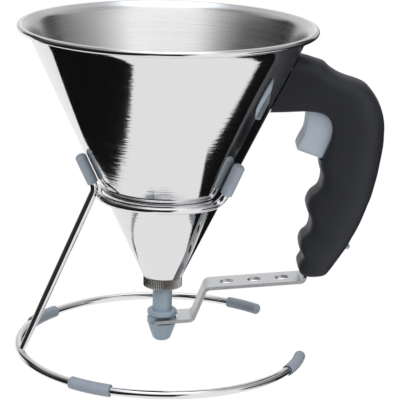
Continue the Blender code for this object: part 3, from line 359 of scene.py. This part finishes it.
def flare(end, wall, t):
    # a point of the sheet between the cone and the rim's end, with the sheet's inner side at wall
    z = FLARE_START + (end[1] - FLARE_START) * t
    return (cone_radius(z) - wall + (end[0] - cone_radius(end[1]) + wall) * t * t, z)


def build_cone():
    wall = SHEET / math.cos(LEAN)
    rim = []
    for i in range(BEAD_STEPS + 1):
        a = BEAD_JOINT + BEAD_SWEEP * i / BEAD_STEPS
        rim.append((BEAD_MIDDLE + BEAD_RADIUS * math.cos(a), BEAD_HEIGHT + BEAD_RADIUS * math.sin(a)))
    outer = [(cone_radius(z), z) for z in np.linspace(CONE_FOOT, FLARE_START, CONE_ROWS)]
    outer += [flare(rim[0], 0.0, t) for t in (0.25, 0.5, 0.75)]
    inner = [flare(rim[-1], wall, t) for t in (0.75, 0.5, 0.25)]
    inner += [(cone_radius(z) - wall, z) for z in np.linspace(FLARE_START, CONE_FOOT, CONE_ROWS)]
    profile = outer + rim + inner
    thing = solid("cone", *revolve(profile, CONE_SEGMENTS))
    first, ring = len(outer) + len(rim) - 1, len(profile)
    marks = [1 if first <= k < ring - 1 else 0 for i in range(CONE_SEGMENTS) for k in range(ring)]
    piece(thing, "funnel_cone", (POLISHED, BRUSHED), 50.0)
    thing.data.polygons.foreach_set("material_index", marks)


def build_nut():
    count = NUT_RIBS * NUT_RIB_STEPS
    turns = [2.0 * math.pi * k / count for k in range(count)]
    waves = [abs(math.sin(math.pi * k / NUT_RIB_STEPS)) ** 0.7 for k in range(count)]
    # height from the nearest face, and how much of the ribs is left there
    levels = ((0.0, 0.0), (0.12, 0.45), (0.45, 0.95), (0.7, 1.0))
    rows = [(NUT_BOTTOM + rise, share) for rise, share in levels]
    rows += [(NUT_TOP - rise, share) for rise, share in reversed(levels)]
    rings = []
    for z, share in rows:
        reach = [NUT_LOW - NUT_EDGE * (1.0 - share) + (NUT_HIGH - NUT_LOW) * w * share for w in waves]
        rings.append([(r * math.cos(a), r * math.sin(a), z) for r, a in zip(reach, turns)])
    floor_height = NUT_BOTTOM + NUT_LIP
    for r, z in ((NUT_THREAD, NUT_TOP), (NUT_THREAD, floor_height), (NUT_MOUTH, floor_height),
                 (NUT_MOUTH, NUT_BOTTOM)):
        rings.append([(r * math.cos(a), r * math.sin(a), z) for a in turns])
    points = [p for loop in rings for p in loop]
    piece(solid("nut", points, strip_faces(len(rings), count, True)), "knurled_nut", (NUT,), 40.0)


# wire stand

def frames_along(path, first_side):
    path = [np.array(p, dtype=float) for p in path]
    side = np.array(first_side, dtype=float)
    found = []
    for i, p in enumerate(path):
        way = np.zeros(3)
        for part in (path[min(i + 1, len(path) - 1)] - p, p - path[max(i - 1, 0)]):
            size = np.linalg.norm(part)
            if size > 0.0:
                way = way + part / size
        way = way / np.linalg.norm(way)
        side = side - way * np.dot(side, way)
        side = side / np.linalg.norm(side)
        found.append((p, way, side, np.cross(way, side)))
    return found


def ring_at(place, radius, sides, push=0.0):
    p, way, side, other = place
    loop = []
    for k in range(sides):
        a = 2.0 * math.pi * k / sides
        loop.append(tuple(p + way * push + side * radius * math.cos(a) + other * radius * math.sin(a)))
    return loop


def wire(node, path, first_side):
    found = frames_along(path, first_side)
    rings = [ring_at(found[0], WIRE_END, WIRE_SIDES)]
    rings += [ring_at(f, WIRE_R, WIRE_SIDES) for f in found[1:-1]]
    rings.append(ring_at(found[-1], WIRE_END, WIRE_SIDES))
    piece(solid(node + "_wire", *solid_rings(rings)), node, (WIRE,), 60.0)


def soft_mouth(place, radius, way, turns):
    return [ring_at(place, radius - SLEEVE_EDGE * (1.0 - math.sin(a)), SLEEVE_SIDES,
                    way * SLEEVE_EDGE * (1.0 - math.cos(a))) for a in turns]


def sleeve(node, path, first_side, radius, closed=True):
    """A plastic tube round the wire; a closed one has a domed end at the path's end."""
    found = frames_along(path, first_side)
    inner = [ring_at(f, BORE, SLEEVE_SIDES) for f in reversed(found)]
    mouth = soft_mouth(found[0], radius, 1.0, (0.0, 0.5, 1.0))
    outer = [ring_at(f, radius, SLEEVE_SIDES) for f in found[1:-1]]
    if not closed:
        outer += soft_mouth(found[-1], radius, -1.0, (1.0, 0.5, 0.0))
        rings = mouth + outer + inner
        points = [p for loop in rings for p in loop]
        thing = solid(node + "_tube", points, strip_faces(len(rings), SLEEVE_SIDES, True))
    else:
        outer += [ring_at(found[-1], radius, SLEEVE_SIDES, push) for push in (0.0, CLEAR)]
        dome = []
        for k in range(1, DOME_STEPS):
            a = 0.5 * math.pi * k / DOME_STEPS
            dome.append(ring_at(found[-1], radius * math.cos(a) ** DOME_POWER, SLEEVE_SIDES,
                                CLEAR + DOME_HEIGHT * math.sin(a)))
        thing = solid(node + "_tube", *solid_rings(inner + mouth + outer + dome))
    piece(thing, node, (SLEEVE,), 42.0)


def arc(radius, height, start, end):
    steps = max(4, int(abs(end - start) / ARC_STEP))
    turns = [start + (end - start) * i / steps for i in range(steps + 1)]
    return [(radius * math.cos(a), radius * math.sin(a), height) for a in turns]


def base_arc(start, end):
    """Part of the base ring: it rises gently to its back end and is bent inwards at its front end."""
    bent = []
    for x, y, z in arc(BASE_R, SLEEVE_R, start, end):
        from_back = (math.atan2(y, x) - STAND_TURN) % (2.0 * math.pi) - BASE_GAP
        from_front = 2.0 * math.pi - 2.0 * BASE_GAP - from_back
        rise = min(1.0, max(0.0, 1.0 - from_back / (FOOT_ANGLE - BASE_GAP - SLEEVE_TURN)))
        pull = min(1.0, max(0.0, 1.0 - from_front / END_PULL_TURN))
        pull = 1.0 - END_PULL / BASE_R * pull * pull
        bent.append((x * pull, y * pull, z + END_RISE * math.sin(0.5 * math.pi * rise)))
    return bent


def curve(p, q, r, steps=12):
    p, q, r = np.array(p), np.array(q), np.array(r)
    ts = [i / steps for i in range(steps + 1)]
    return [tuple(p * (1.0 - t) ** 2 + q * 2.0 * t * (1.0 - t) + r * t * t) for t in ts]


def on_prong(angle, z, radius):
    corner = radius / math.cos(math.pi / 16.0)      # the CAD's sleeve has 16 sides
    r = cone_radius(z) + (corner + CLEAR) / math.cos(LEAN)
    return (r * math.cos(angle), r * math.sin(angle), z)


def between(p, q, steps):
    p, q = np.array(p, dtype=float), np.array(q, dtype=float)
    return [tuple(p + (q - p) * i / steps) for i in range(steps + 1)]


def build_stand():
    turn = STAND_TURN
    start, end = turn + BASE_GAP, turn + 2.0 * math.pi - BASE_GAP
    wire("base_ring", base_arc(start, end), (math.cos(start), math.sin(start), 0.0))
    half = 0.5 * SLEEVE_TURN
    for node, middle in (("foot_sleeve_back", turn + FOOT_ANGLE), ("foot_sleeve_front", turn - FOOT_ANGLE)):
        first = middle - half
        sleeve(node, base_arc(first, middle + half), (math.cos(first), math.sin(first), 0.0), SLEEVE_R, False)
    for node, way, cover in END_TURNS:
        mouth = turn + way * (BASE_GAP + cover)
        tip = turn + way * (BASE_GAP - END_REACH / BASE_R)
        sleeve(node, base_arc(mouth, tip), (math.cos(mouth), math.sin(mouth), 0.0), CAP_R)
    build_support(turn - PRONG_ANGLE, turn + PRONG_ANGLE)
    build_leg(turn + math.pi)


def build_support(first, last):
    radius = cone_radius(SUPPORT) + SUPPORT_OUT
    lead = PRONG_BEND / radius
    level = arc(radius, SUPPORT, first + 2.0 * math.pi - lead, last + lead)
    corner_f = (radius * math.cos(first), radius * math.sin(first), SUPPORT)
    corner_b = (radius * math.cos(last), radius * math.sin(last), SUPPORT)
    low_f, low_b = (on_prong(a, SUPPORT + PRONG_BEND, SLEEVE_R) for a in (first, last))
    path = [on_prong(first, PRONG_TOP, SLEEVE_R)] + curve(low_f, corner_f, level[0]) + level[1:-1]
    path += curve(level[-1], corner_b, low_b) + [on_prong(last, PRONG_TOP, SLEEVE_R)]
    wire("support_ring", path, (-math.sin(first), math.cos(first), 0.0))
    for node, a, low in (("prong_sleeve_front", first, low_f), ("prong_sleeve_back", last, low_b)):
        path = between(low, on_prong(a, PRONG_TOP + CAP_COVER, SLEEVE_R), 4)
        sleeve(node, path, (-math.sin(a), math.cos(a), 0.0), SLEEVE_R)


def build_leg(a):
    foot = np.array((LEG_FOOT_R * math.cos(a), LEG_FOOT_R * math.sin(a), LEG_FOOT_HEIGHT))
    knee = np.array(on_prong(a, LEG_KNEE, CAP_R))
    head = np.array(on_prong(a, LEG_TOP, CAP_R))
    down, up = (foot - knee) / np.linalg.norm(foot - knee), (head - knee) / np.linalg.norm(head - knee)
    part = 0.5 * math.acos(float(np.dot(down, up)))
    reach = LEG_BEND / math.tan(part)
    centre = knee + (down + up) / np.linalg.norm(down + up) * LEG_BEND / math.sin(part)
    one, two = knee + down * reach - centre, knee + up * reach - centre
    bend = math.acos(float(np.dot(one, two)) / LEG_BEND ** 2)
    path = [tuple(foot), tuple(foot + (knee - foot) * 0.3)]
    for i in range(BEND_STEPS + 1):
        t = i / BEND_STEPS
        mix = (one * math.sin((1.0 - t) * bend) + two * math.sin(t * bend)) / math.sin(bend)
        path.append(tuple(centre + mix))
    path.append(tuple(head))
    wire("leg_wire", path, (-math.sin(a), math.cos(a), 0.0))
    path = between(on_prong(a, LEG_SLEEVE_LOW, CAP_R), on_prong(a, LEG_TOP + CAP_COVER, CAP_R), 4)
    sleeve("leg_sleeve", path, (-math.sin(a), math.cos(a), 0.0), CAP_R)


# handle and trigger

def smooth_rows(rows, steps, closed=False):
    # a smooth curve through rows of numbers
    rows = np.array(rows, dtype=float)
    count = len(rows)
    found = []
    for i in range(count if closed else count - 1):
        if closed:
            a, b, c, d = (rows[j % count] for j in (i - 1, i, i + 1, i + 2))
        else:
            a, b, c, d = (rows[min(max(j, 0), count - 1)] for j in (i - 1, i, i + 1, i + 2))
        for k in range(steps):
            t = k / steps
            found.append(0.5 * (2.0 * b + (c - a) * t + (2.0 * a - 5.0 * b + 4.0 * c - d) * t * t
                                + (3.0 * b - a - 3.0 * c + d) * t * t * t))
    if not closed:
        found.append(rows[-1])
    return found


# finger side x, z and palm side x, z in shares of 120 mm, half width share, squareness
GRIP_RIBS = (
    (0.041, 0.738, 0.118, 0.993, 1.00, 16.0),
    (0.143, 0.742, 0.229, 0.971, 1.00, 16.0),
    (0.203, 0.746, 0.277, 0.957, 1.00, 16.0),
    (0.244, 0.748, 0.314, 0.945, 1.00, 16.0),
    (0.279, 0.746, 0.339, 0.923, 1.00, 16.0),
    (0.306, 0.741, 0.376, 0.900, 1.00, 16.0),
    (0.328, 0.731, 0.417, 0.884, 1.00, 16.0),
    (0.344, 0.714, 0.455, 0.873, 1.00, 16.0),
    (0.353, 0.696, 0.493, 0.855, 1.00, 16.0),
    (0.356, 0.677, 0.523, 0.823, 1.00, 16.0),
    (0.355, 0.658, 0.551, 0.779, 1.00, 14.0),
    (0.352, 0.638, 0.571, 0.727, 1.00, 12.0),
    (0.344, 0.612, 0.580, 0.670, 1.00, 10.0),
    (0.332, 0.582, 0.580, 0.614, 1.00, 8.0),
    (0.320, 0.555, 0.575, 0.565, 1.00, 6.5),
    (0.312, 0.530, 0.569, 0.522, 1.00, 5.5),
    (0.314, 0.500, 0.561, 0.470, 1.00, 4.6),
    (0.323, 0.471, 0.550, 0.419, 1.00, 4.6),
    (0.321, 0.435, 0.539, 0.373, 1.00, 4.6),
    (0.309, 0.404, 0.528, 0.342, 1.00, 4.6),
    (0.280, 0.379, 0.516, 0.306, 1.00, 4.6),
    (0.264, 0.342, 0.500, 0.262, 1.00, 4.6),
    (0.269, 0.314, 0.482, 0.222, 1.00, 4.6),
    (0.281, 0.285, 0.465, 0.190, 1.00, 4.6),
    (0.283, 0.252, 0.449, 0.156, 1.00, 4.6),
    (0.273, 0.219, 0.430, 0.126, 1.00, 4.6),
    (0.251, 0.199, 0.413, 0.099, 1.00, 4.6),
    (0.241, 0.175, 0.401, 0.081, 1.00, 4.6),
    (0.242, 0.149, 0.389, 0.063, 1.00, 4.6),
    (0.256, 0.119, 0.376, 0.046, 1.00, 4.6),
    (0.248, 0.095, 0.363, 0.031, 1.00, 4.6),
    (0.238, 0.073, 0.345, 0.026, 1.00, 4.6),
    (0.244, 0.050, 0.326, 0.028, 0.98, 4.6),
    (0.255, 0.039, 0.306, 0.030, 0.93, 4.6),
    (0.269, 0.034, 0.290, 0.031, 0.84, 4.6),
)
SCREWS = ((66.5, 143.0, 1.3), (80.0, 143.6, 1.3), (99.6, 105.0, 0.0), (87.6, 67.5, 0.0))
PIVOT = (77.5, 134.5)
TRIGGER_SHARES = (
    (-0.222, 0.000), (-0.242, -0.150), (-0.244, -0.260), (-0.250, -0.375), (-0.271, -0.520),
    (-0.335, -0.655), (-0.383, -0.760), (-0.390, -0.812), (-0.362, -0.845), (-0.143, -0.920),
    (0.003, -0.968), (0.050, -0.950), (0.103, -0.833), (0.170, -0.667), (0.223, -0.500),
    (0.237, -0.333), (0.203, -0.167), (0.157, -0.033), (0.123, 0.090), (0.037, 0.147),
    (-0.070, 0.137), (-0.163, 0.090),
)
HORN_SHARES = (
    (0.083, 0.077), (0.217, 0.000), (0.300, -0.167), (0.417, -0.387), (0.603, -0.387),
    (0.643, -0.348), (0.677, -0.350), (0.723, -0.373), (0.770, -0.407), (0.780, -0.440),
    (0.757, -0.475), (0.700, -0.490), (0.517, -0.503), (0.383, -0.497), (0.217, -0.400),
    (0.083, -0.200),
)
POCKET_SHARES = (
    (-0.310, -0.550), (-0.310, -0.040), (0.360, -0.040), (0.420, -0.750), (0.290, -1.000),
    (-0.050, -1.010),
)


def section(rib, side, steps, wall):
    """Half of a handle section, from the finger side round to the palm side, wall inside the surface."""
    fx, fz, bx, bz, width, square = rib
    front = np.array((GRIP_X + GRIP_SPAN * fx, GRIP_Z + GRIP_SPAN * fz))
    back = np.array((GRIP_X + GRIP_SPAN * bx, GRIP_Z + GRIP_SPAN * bz))
    along = (back - front) / np.linalg.norm(back - front)
    front, back = front + along * wall, back - along * wall
    middle, reach = 0.5 * (front + back), 0.5 * (back - front)
    width = GRIP_HALF * width - wall
    loop = []
    for k in range(-steps, steps + 1):
        power = square if k < 0 else PALM_POWER
        lean = math.radians(90.0 * abs(k) / steps)
        if abs(k) == steps:
            s, c = 1.0, 0.0
        else:
            # steps that turn the surface evenly
            phi = math.atan(math.tan(lean) ** (1.0 / (power - 1.0)))
            r = (math.cos(phi) ** power + math.sin(phi) ** power) ** (-1.0 / power)
            s, c = r * math.sin(phi), r * math.cos(phi)
        spot = middle + reach * s * (1.0 if k > 0 else -1.0)
        loop.append((spot[0], side * (PARTING + (width - PARTING) * c), spot[1]))
    if wall:
        loop = [(loop[0][0], -side, loop[0][2])] + loop + [(loop[-1][0], -side, loop[-1][2])]
    return loop


def rod(name, stations, place, along):
    """A tool turned about Y or X: stations of (place on the axis, radius)."""
    cx, cy, cz = place
    rings = []
    for far, r in stations:
        loop = []
        for k in range(ROD_SIDES):
            a = 2.0 * math.pi * (k + 0.5) / ROD_SIDES
            u, v = r * math.cos(a), r * math.sin(a)
            loop.append((cx + u, cy + far, cz + v) if along == "Y" else (cx + far, cy + u, cz + v))
        rings.append(loop)
    return solid(name, *solid_rings(rings))


def brick(name, xs, ys, zs):
    (x0, x1), (y0, y1) = xs, ys
    return solid(name, *solid_rings([[(x0, y0, z), (x1, y0, z), (x1, y1, z), (x0, y1, z)] for z in zs]))


def inset(outline, depth):
    """The outline moved inwards along its corner normals."""
    count = len(outline)
    twice = sum(outline[i][0] * outline[(i + 1) % count][1] - outline[(i + 1) % count][0] * outline[i][1]
                for i in range(count))
    way = 1.0 if twice > 0.0 else -1.0
    moved = []
    for i in range(count):
        a, b, c = (np.array(outline[j]) for j in (i - 1, i, (i + 1) % count))
        ta, tb = (b - a) / np.linalg.norm(b - a), (c - b) / np.linalg.norm(c - b)
        mid = (ta + tb) / np.linalg.norm(ta + tb)
        far = depth / max(0.5, float(np.dot(mid, ta)))
        moved.append((b[0] - way * mid[1] * far, b[1] + way * mid[0] * far))
    return moved


def slab(name, outline, low, high, edge=0.0, steps=1):
    """An (x, z) outline given thickness along Y, with rounded rims of the edge size."""
    layers = []
    for k in range(steps + 1):
        a = 0.5 * math.pi * k / steps
        depth, rise = edge * (1.0 - math.sin(a)), edge * (1.0 - math.cos(a))
        layers.append((rise, inset(outline, depth) if depth > 1e-6 else list(outline)))
    if not edge:
        layers = layers[:1]
    rows = [(low + rise, loop) for rise, loop in layers]
    rows += [(high - rise, loop) for rise, loop in reversed(layers)]
    return solid(name, *solid_rings([[(x, y, z) for x, z in loop] for y, loop in rows]))


def about_pivot(shares):
    return [(PIVOT[0] + TRIGGER_SPAN * u, PIVOT[1] + TRIGGER_SPAN * v) for u, v in shares]


def hollow(name, side, hub):
    """What the inside of a handle half takes away: the rest of it is walls and bosses."""
    ribs = [section(r, side, HOLLOW_STEPS, GRIP_WALL) for r in GRIP_RIBS[:HOLLOW_RIBS]]
    cavity = solid("hollow_" + name, *solid_rings(ribs))
    y0, y1 = sorted((-side, side * POCKET_HALF))
    pocket = slab("pocket_" + name, about_pivot(POCKET_SHARES), y0, y1)
    end = side * BOSS_END
    stations = ((side * PIN_BOSS_START, PIN_BOSS_R), (end, PIN_BOSS_R))
    kept = [rod("pin_boss_" + name, stations, hub, "Y")]
    for i, (x, z, inner) in enumerate(SCREWS):
        stations = ((side * inner, SCREW_BOSS_R), (end, SCREW_BOSS_R))
        kept.append(rod("boss_%s_%d" % (name, i), stations, (x, 0.0, z), "Y"))
    kept.append(brick("post_" + name, POST_X, sorted((0.0, side * POST_HALF_Y)), POST_Z))
    stations = [(x, GUIDE_BOSS_R) for x in GUIDE_BOSS_X]
    kept.append(rod("guide_boss_" + name, stations, (0.0, 0.0, GUIDE_HEIGHT), "X"))
    return carved(cavity, [("UNION", pocket)] + [("DIFFERENCE", item) for item in kept])


def build_handle():
    hub, guide = (PIVOT[0], 0.0, PIVOT[1]), (0.0, 0.0, GUIDE_HEIGHT)
    ribs = smooth_rows(GRIP_RIBS, SMOOTH_STEPS)
    for rib in ribs:
        rib[2] = min(rib[2], GRIP_BACK)
    step = 2.0 * math.pi / SADDLE_TURNS
    for name, side in (("near", -1.0), ("far", 1.0)):
        shell = solid("grip_" + name, *solid_rings([section(r, side, SECTION_STEPS, 0.0) for r in ribs]))
        tools = [hollow(name, side, hub)]
        loops = []
        for z in (SADDLE_LOW, BEAD_HEIGHT):
            r = cone_radius(z) + SADDLE_GAP / math.cos(LEAN)
            loops.append([(r * math.cos(step * k), r * math.sin(step * k), z) for k in range(SADDLE_TURNS)])
        tools.append(solid("saddle_" + name, *solid_rings(loops)))
        tools.append(brick("foot_" + name, FOOT_X, (-FOOT_HALF_Y, FOOT_HALF_Y), FOOT_Z))
        tools.append(brick("rise_" + name, RISE_X, (-RISE_HALF_Y, RISE_HALF_Y), RISE_Z))
        tools.append(rod("guide_" + name, [(x, GUIDE_HOLE) for x in GUIDE_X], guide, "X"))
        tools.append(rod("pin_" + name, ((0.0, PIN_HOLE), (side * PIN_REACH, PIN_HOLE)), hub, "Y"))
        for i, (x, z, inner) in enumerate(SCREWS):
            if side < 0.0:
                stations = ((1.0, PIN_HOLE), (-HEAD_SEAT, PIN_HOLE))
            else:
                stations = ((-1.0, PIN_HOLE), (HEAD_SEAT, PIN_HOLE), (HEAD_SEAT, HEAD_HOLE),
                            (BOSS_END, HEAD_HOLE))
            tools.append(rod("screw_%s_%d" % (name, i), stations, (x, 0.0, z), "Y"))
        carved(shell, [("DIFFERENCE", item) for item in tools])
        piece(shell, "handle_half_" + name, (DARK,), 40.0)


def build_trigger():
    outline = [tuple(p) for p in smooth_rows(about_pivot(TRIGGER_SHARES), SMOOTH_STEPS, True)]
    thing = slab("lever", outline, -TRIGGER_HALF, TRIGGER_HALF, TRIGGER_EDGE, 5)
    horn = slab("horn", about_pivot(HORN_SHARES), -HORN_HALF, HORN_HALF)
    reach = TRIGGER_HALF + 1.0
    hole = rod("lever_hole", ((-reach, PIN_HOLE), (reach, PIN_HOLE)), (PIVOT[0], 0.0, PIVOT[1]), "Y")
    carved(thing, [("UNION", horn), ("DIFFERENCE", hole)])
    piece(thing, "trigger", (LIGHT,), 40.0)


def build_spring():
    """A coil between the bar's shelf and the post in the handle; the real spring shortens as the bar rises,
    this one is built at one length.
    """
    steps = int(SPRING_TURNS * SPRING_STEPS)
    path = []
    for i in range(steps + 1):
        t = i / steps
        a = 2.0 * math.pi * SPRING_TURNS * t
        path.append((SPRING_X + SPRING_R * math.cos(a), SPRING_R * math.sin(a),
                     SPRING_LOW + (SPRING_HIGH - SPRING_LOW) * t))
    rings = [ring_at(f, SPRING_WIRE, SPRING_SIDES) for f in frames_along(path, (1.0, 0.0, 0.0))]
    thing = piece(solid("spring", *solid_rings(rings)), "return_spring", (PLAIN,), 60.0)
    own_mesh(thing)


build_cone()
build_nut()
build_spring()
build_stand()
build_handle()
build_trigger()
for name in SOFTENED:
    soft = nodes[name].modifiers.new("edges", "BEVEL")
    soft.width = SOFT_EDGE * MM
    soft.segments = 2
    soft.limit_method = "ANGLE"
    soft.angle_limit = math.radians(50.0)
    soft.harden_normals = True


# stage: floor, studio seen only in reflections, light

FLOOR_HALF, FLOOR_LEVEL = 4.0, -0.0004


def stage_mesh(name, points, faces, mat):
    mesh = bpy.data.meshes.new(name)
    mesh.from_pydata(points, [], faces)
    mesh.materials.append(mat)
    thing = bpy.data.objects.new(name, mesh)
    bpy.context.scene.collection.objects.link(thing)
    return thing


def floor():
    mat, tree, shader = new_material("floor_white", (0.90, 0.90, 0.90), 0.8, 0.0)
    glow = add(tree, "ShaderNodeEmission", Strength=1.0)
    path = add(tree, "ShaderNodeLightPath")
    mix = add(tree, "ShaderNodeMixShader")
    out = tree.nodes["Material Output"]
    tree.links.new(path.outputs["Is Camera Ray"], mix.inputs[0])
    tree.links.new(shader.outputs[0], mix.inputs[1])
    tree.links.new(glow.outputs[0], mix.inputs[2])
    tree.links.new(mix.outputs[0], out.inputs["Surface"])
    corners = [(x, y, FLOOR_LEVEL) for x, y in ((-1, -1), (1, -1), (1, 1), (-1, 1))]
    corners = [(x * FLOOR_HALF, y * FLOOR_HALF, z) for x, y, z in corners]
    thing = stage_mesh("floor", corners, [(0, 1, 2, 3)], mat)
    thing.visible_glossy = False


def ramp_node(tree, stops):
    node = tree.nodes.new("ShaderNodeValToRGB")
    ramp = node.color_ramp
    while len(ramp.elements) > 1:
        ramp.elements.remove(ramp.elements[-1])
    ramp.elements[0].position = stops[0][0]
    ramp.elements[0].color = (*[stops[0][1]] * 3, 1.0)
    for place, value in stops[1:]:
        made = ramp.elements.new(place)
        made.color = (*[value] * 3, 1.0)
    return node


# brightness of the studio by direction, in three bands from below level upwards:
# degrees from the camera's side, turning right, and value
LOWER = (
    (-180, 0.42), (-171, 0.42), (-168, 0.95), (-125, 0.95), (-118, 0.02), (10, 0.02), (16, 0.95),
    (60, 0.95), (66, 0.02), (166, 0.02), (170, 0.42), (180, 0.42),
)
MIDDLE = (
    (-180, 0.9), (-162, 0.7), (-143, 0.5), (-137, 0.03), (-122, 0.04), (-108, 0.07), (-90, 0.08),
    (-80, 0.03), (16, 0.02), (24, 0.95), (60, 0.80), (80, 0.36), (100, 0.25), (117, 0.16),
    (122, 0.05), (138, 0.06), (142, 0.5), (165, 0.6), (180, 0.9),
)
UPPER = (
    (-180, 0.9), (-130, 0.5), (-90, 0.22), (-74, 0.30), (-55, 0.55), (-42, 0.85), (-33, 1.1), (40, 1.1),
    (50, 0.9), (60, 0.65), (80, 0.40), (130, 0.5), (180, 0.9),
)
DEEP = (0.92, 0.92, 0.92)               # what lies straight below, past the flags
TOP = (1.9, 2.0, 2.2)                   # the soft box overhead
# the bands from below upwards, with the sine of the elevation where each begins
BANDS = ((DEEP, None), (LOWER, -0.47), (MIDDLE, -0.02), (UPPER, 0.53), (TOP, 0.94))
BAND_BLEND = 0.03
STUDIO_RADIUS, STUDIO_HEIGHT = 3.0, 0.1
FLAG_LEVEL = -0.25
# dark cards on the flag level, in metres: what the polished cone shows as its black wedges
LEFT_BEND = ((-0.38, 0.16), (-0.35, 0.02), (-0.31, -0.06))
FLAGS = {
    "flag_left": (
        (-0.44, 0.52), *curve(*LEFT_BEND), (-0.23, -0.19), (-0.20, -0.25), (-0.19, -0.33),
        (-0.19, -0.90), (-1.00, -0.90), (-1.00, 0.07),
    ),
    "flag_right": (
        (0.25, -0.10), (0.25, 0.19), (0.32, 0.24), (0.17, 0.60), (0.15, 0.85), (0.90, 0.85),
        (0.90, 0.40),
    ),
}


def glow_material(name, value):
    mat = bpy.data.materials.new(name)
    mat.use_nodes = True
    tree = mat.node_tree
    tree.nodes.clear()
    out = tree.nodes.new("ShaderNodeOutputMaterial")
    glow = add(tree, "ShaderNodeEmission", Strength=1.0)
    glow.inputs["Color"].default_value = (value, value, value * 1.05, 1.0)
    tree.links.new(glow.outputs[0], out.inputs["Surface"])
    return mat, tree, glow


def only_reflected(thing):
    thing.visible_camera = False
    thing.visible_diffuse = False
    thing.visible_shadow = False
    thing.visible_transmission = False


def flags():
    mat = glow_material("flag_black", 0.006)[0]
    for name, corners in FLAGS.items():
        points = [(x, y, FLAG_LEVEL) for x, y in corners]
        only_reflected(stage_mesh(name, points, [tuple(range(len(points)))], mat))


def studio():
    mat, tree, glow = glow_material("studio_walls", 1.0)
    split = add(tree, "ShaderNodeSeparateXYZ")
    tree.links.new(position(tree), split.inputs[0])
    back = math_node(tree, "MULTIPLY", split.outputs["Y"], -1.0)
    turn = math_node(tree, "ARCTAN2", split.outputs["X"], back)
    share = math_node(tree, "MULTIPLY_ADD", turn, 1.0 / (2.0 * math.pi))
    share.node.inputs[2].default_value = 0.5
    last = None
    for stops, level in BANDS:
        if len(stops) == 3:
            node = add(tree, "ShaderNodeRGB")
            node.outputs[0].default_value = (*stops, 1.0)
        else:
            node = ramp_node(tree, [((a + 180.0) / 360.0, v) for a, v in stops])
            tree.links.new(share, node.inputs["Fac"])
        if last is None:
            last = node.outputs[0]
            continue
        mix = add(tree, "ShaderNodeMix", data_type="RGBA")
        above = spread(tree, split.outputs["Z"], 0.0, 1.0, (level - BAND_BLEND, level + BAND_BLEND))
        tree.links.new(above, mix.inputs[0])
        tree.links.new(last, mix.inputs[6])
        tree.links.new(node.outputs[0], mix.inputs[7])
        last = mix.outputs[2]
    tree.links.new(last, glow.inputs["Color"])
    work = bmesh.new()
    bmesh.ops.create_icosphere(work, subdivisions=4, radius=1.0)
    mesh = bpy.data.meshes.new("studio")
    work.to_mesh(mesh)
    work.free()
    mesh.materials.append(mat)
    thing = bpy.data.objects.new("studio", mesh)
    thing.scale = (STUDIO_RADIUS, STUDIO_RADIUS, STUDIO_RADIUS)
    thing.location = (AXIS_X, 0.0, STUDIO_HEIGHT)
    bpy.context.scene.collection.objects.link(thing)
    only_reflected(thing)


def area(name, place, target, size, power):
    lamp = bpy.data.lights.new(name, "AREA")
    lamp.shape = "RECTANGLE"
    lamp.size, lamp.size_y = size
    lamp.energy = power
    thing = bpy.data.objects.new(name, lamp)
    thing.location = place
    thing.rotation_mode = "QUATERNION"
    thing.rotation_quaternion = (Vector(place) - Vector(target)).to_track_quat("Z", "Y")
    bpy.context.scene.collection.objects.link(thing)
    thing.visible_glossy = False


def light():
    world = bpy.data.worlds.new("world")
    world.use_nodes = True
    bpy.context.scene.world = world
    tree = world.node_tree
    ground = tree.nodes["Background"]
    path = add(tree, "ShaderNodeLightPath")
    power = math_node(tree, "MAXIMUM", path.outputs["Is Camera Ray"], 0.35)
    tree.links.new(power, ground.inputs["Strength"])
    ground.inputs["Color"].default_value = (1.0, 1.0, 1.0, 1.0)
    middle = (0.0, 0.0, 0.09)
    area("key", (-0.9, -1.0, 1.3), middle, (1.2, 1.2), 22.0)
    area("fill", (1.2, -0.8, 0.7), middle, (1.0, 1.0), 9.0)
    area("top", (0.1, 0.3, 1.5), middle, (1.4, 1.4), 14.0)


def camera():
    data = bpy.data.cameras.new("camera")
    thing = bpy.data.objects.new("camera", data)
    bpy.context.scene.collection.objects.link(thing)
    bpy.context.scene.camera = thing
    tilt, roll = CAMERA_TILT, CAMERA_ROLL
    ahead = Vector((0.0, math.cos(tilt), -math.sin(tilt)))
    right, up = Vector((1.0, 0.0, 0.0)), Vector((0.0, math.sin(tilt), math.cos(tilt)))
    side = right * math.cos(roll) + up * math.sin(roll)
    top = up * math.cos(roll) - right * math.sin(roll)
    place = Vector(CAMERA_AIM) - ahead * CAMERA_FAR
    thing.matrix_world = Matrix((
        (side.x, top.x, -ahead.x, place.x), (side.y, top.y, -ahead.y, place.y),
        (side.z, top.z, -ahead.z, place.z), (0.0, 0.0, 0.0, 1.0)))
    data.sensor_width = SENSOR
    data.lens = FOCAL_PIXELS / PICTURE * SENSOR
    data.shift_x = SHIFT_X / PICTURE
    data.shift_y = SHIFT_Y / PICTURE
    data.clip_start, data.clip_end = 0.01, 20.0
    data.dof.use_dof = False


floor()
studio()
flags()
light()
camera()
scene = bpy.context.scene
scene.view_settings.view_transform = "Standard"
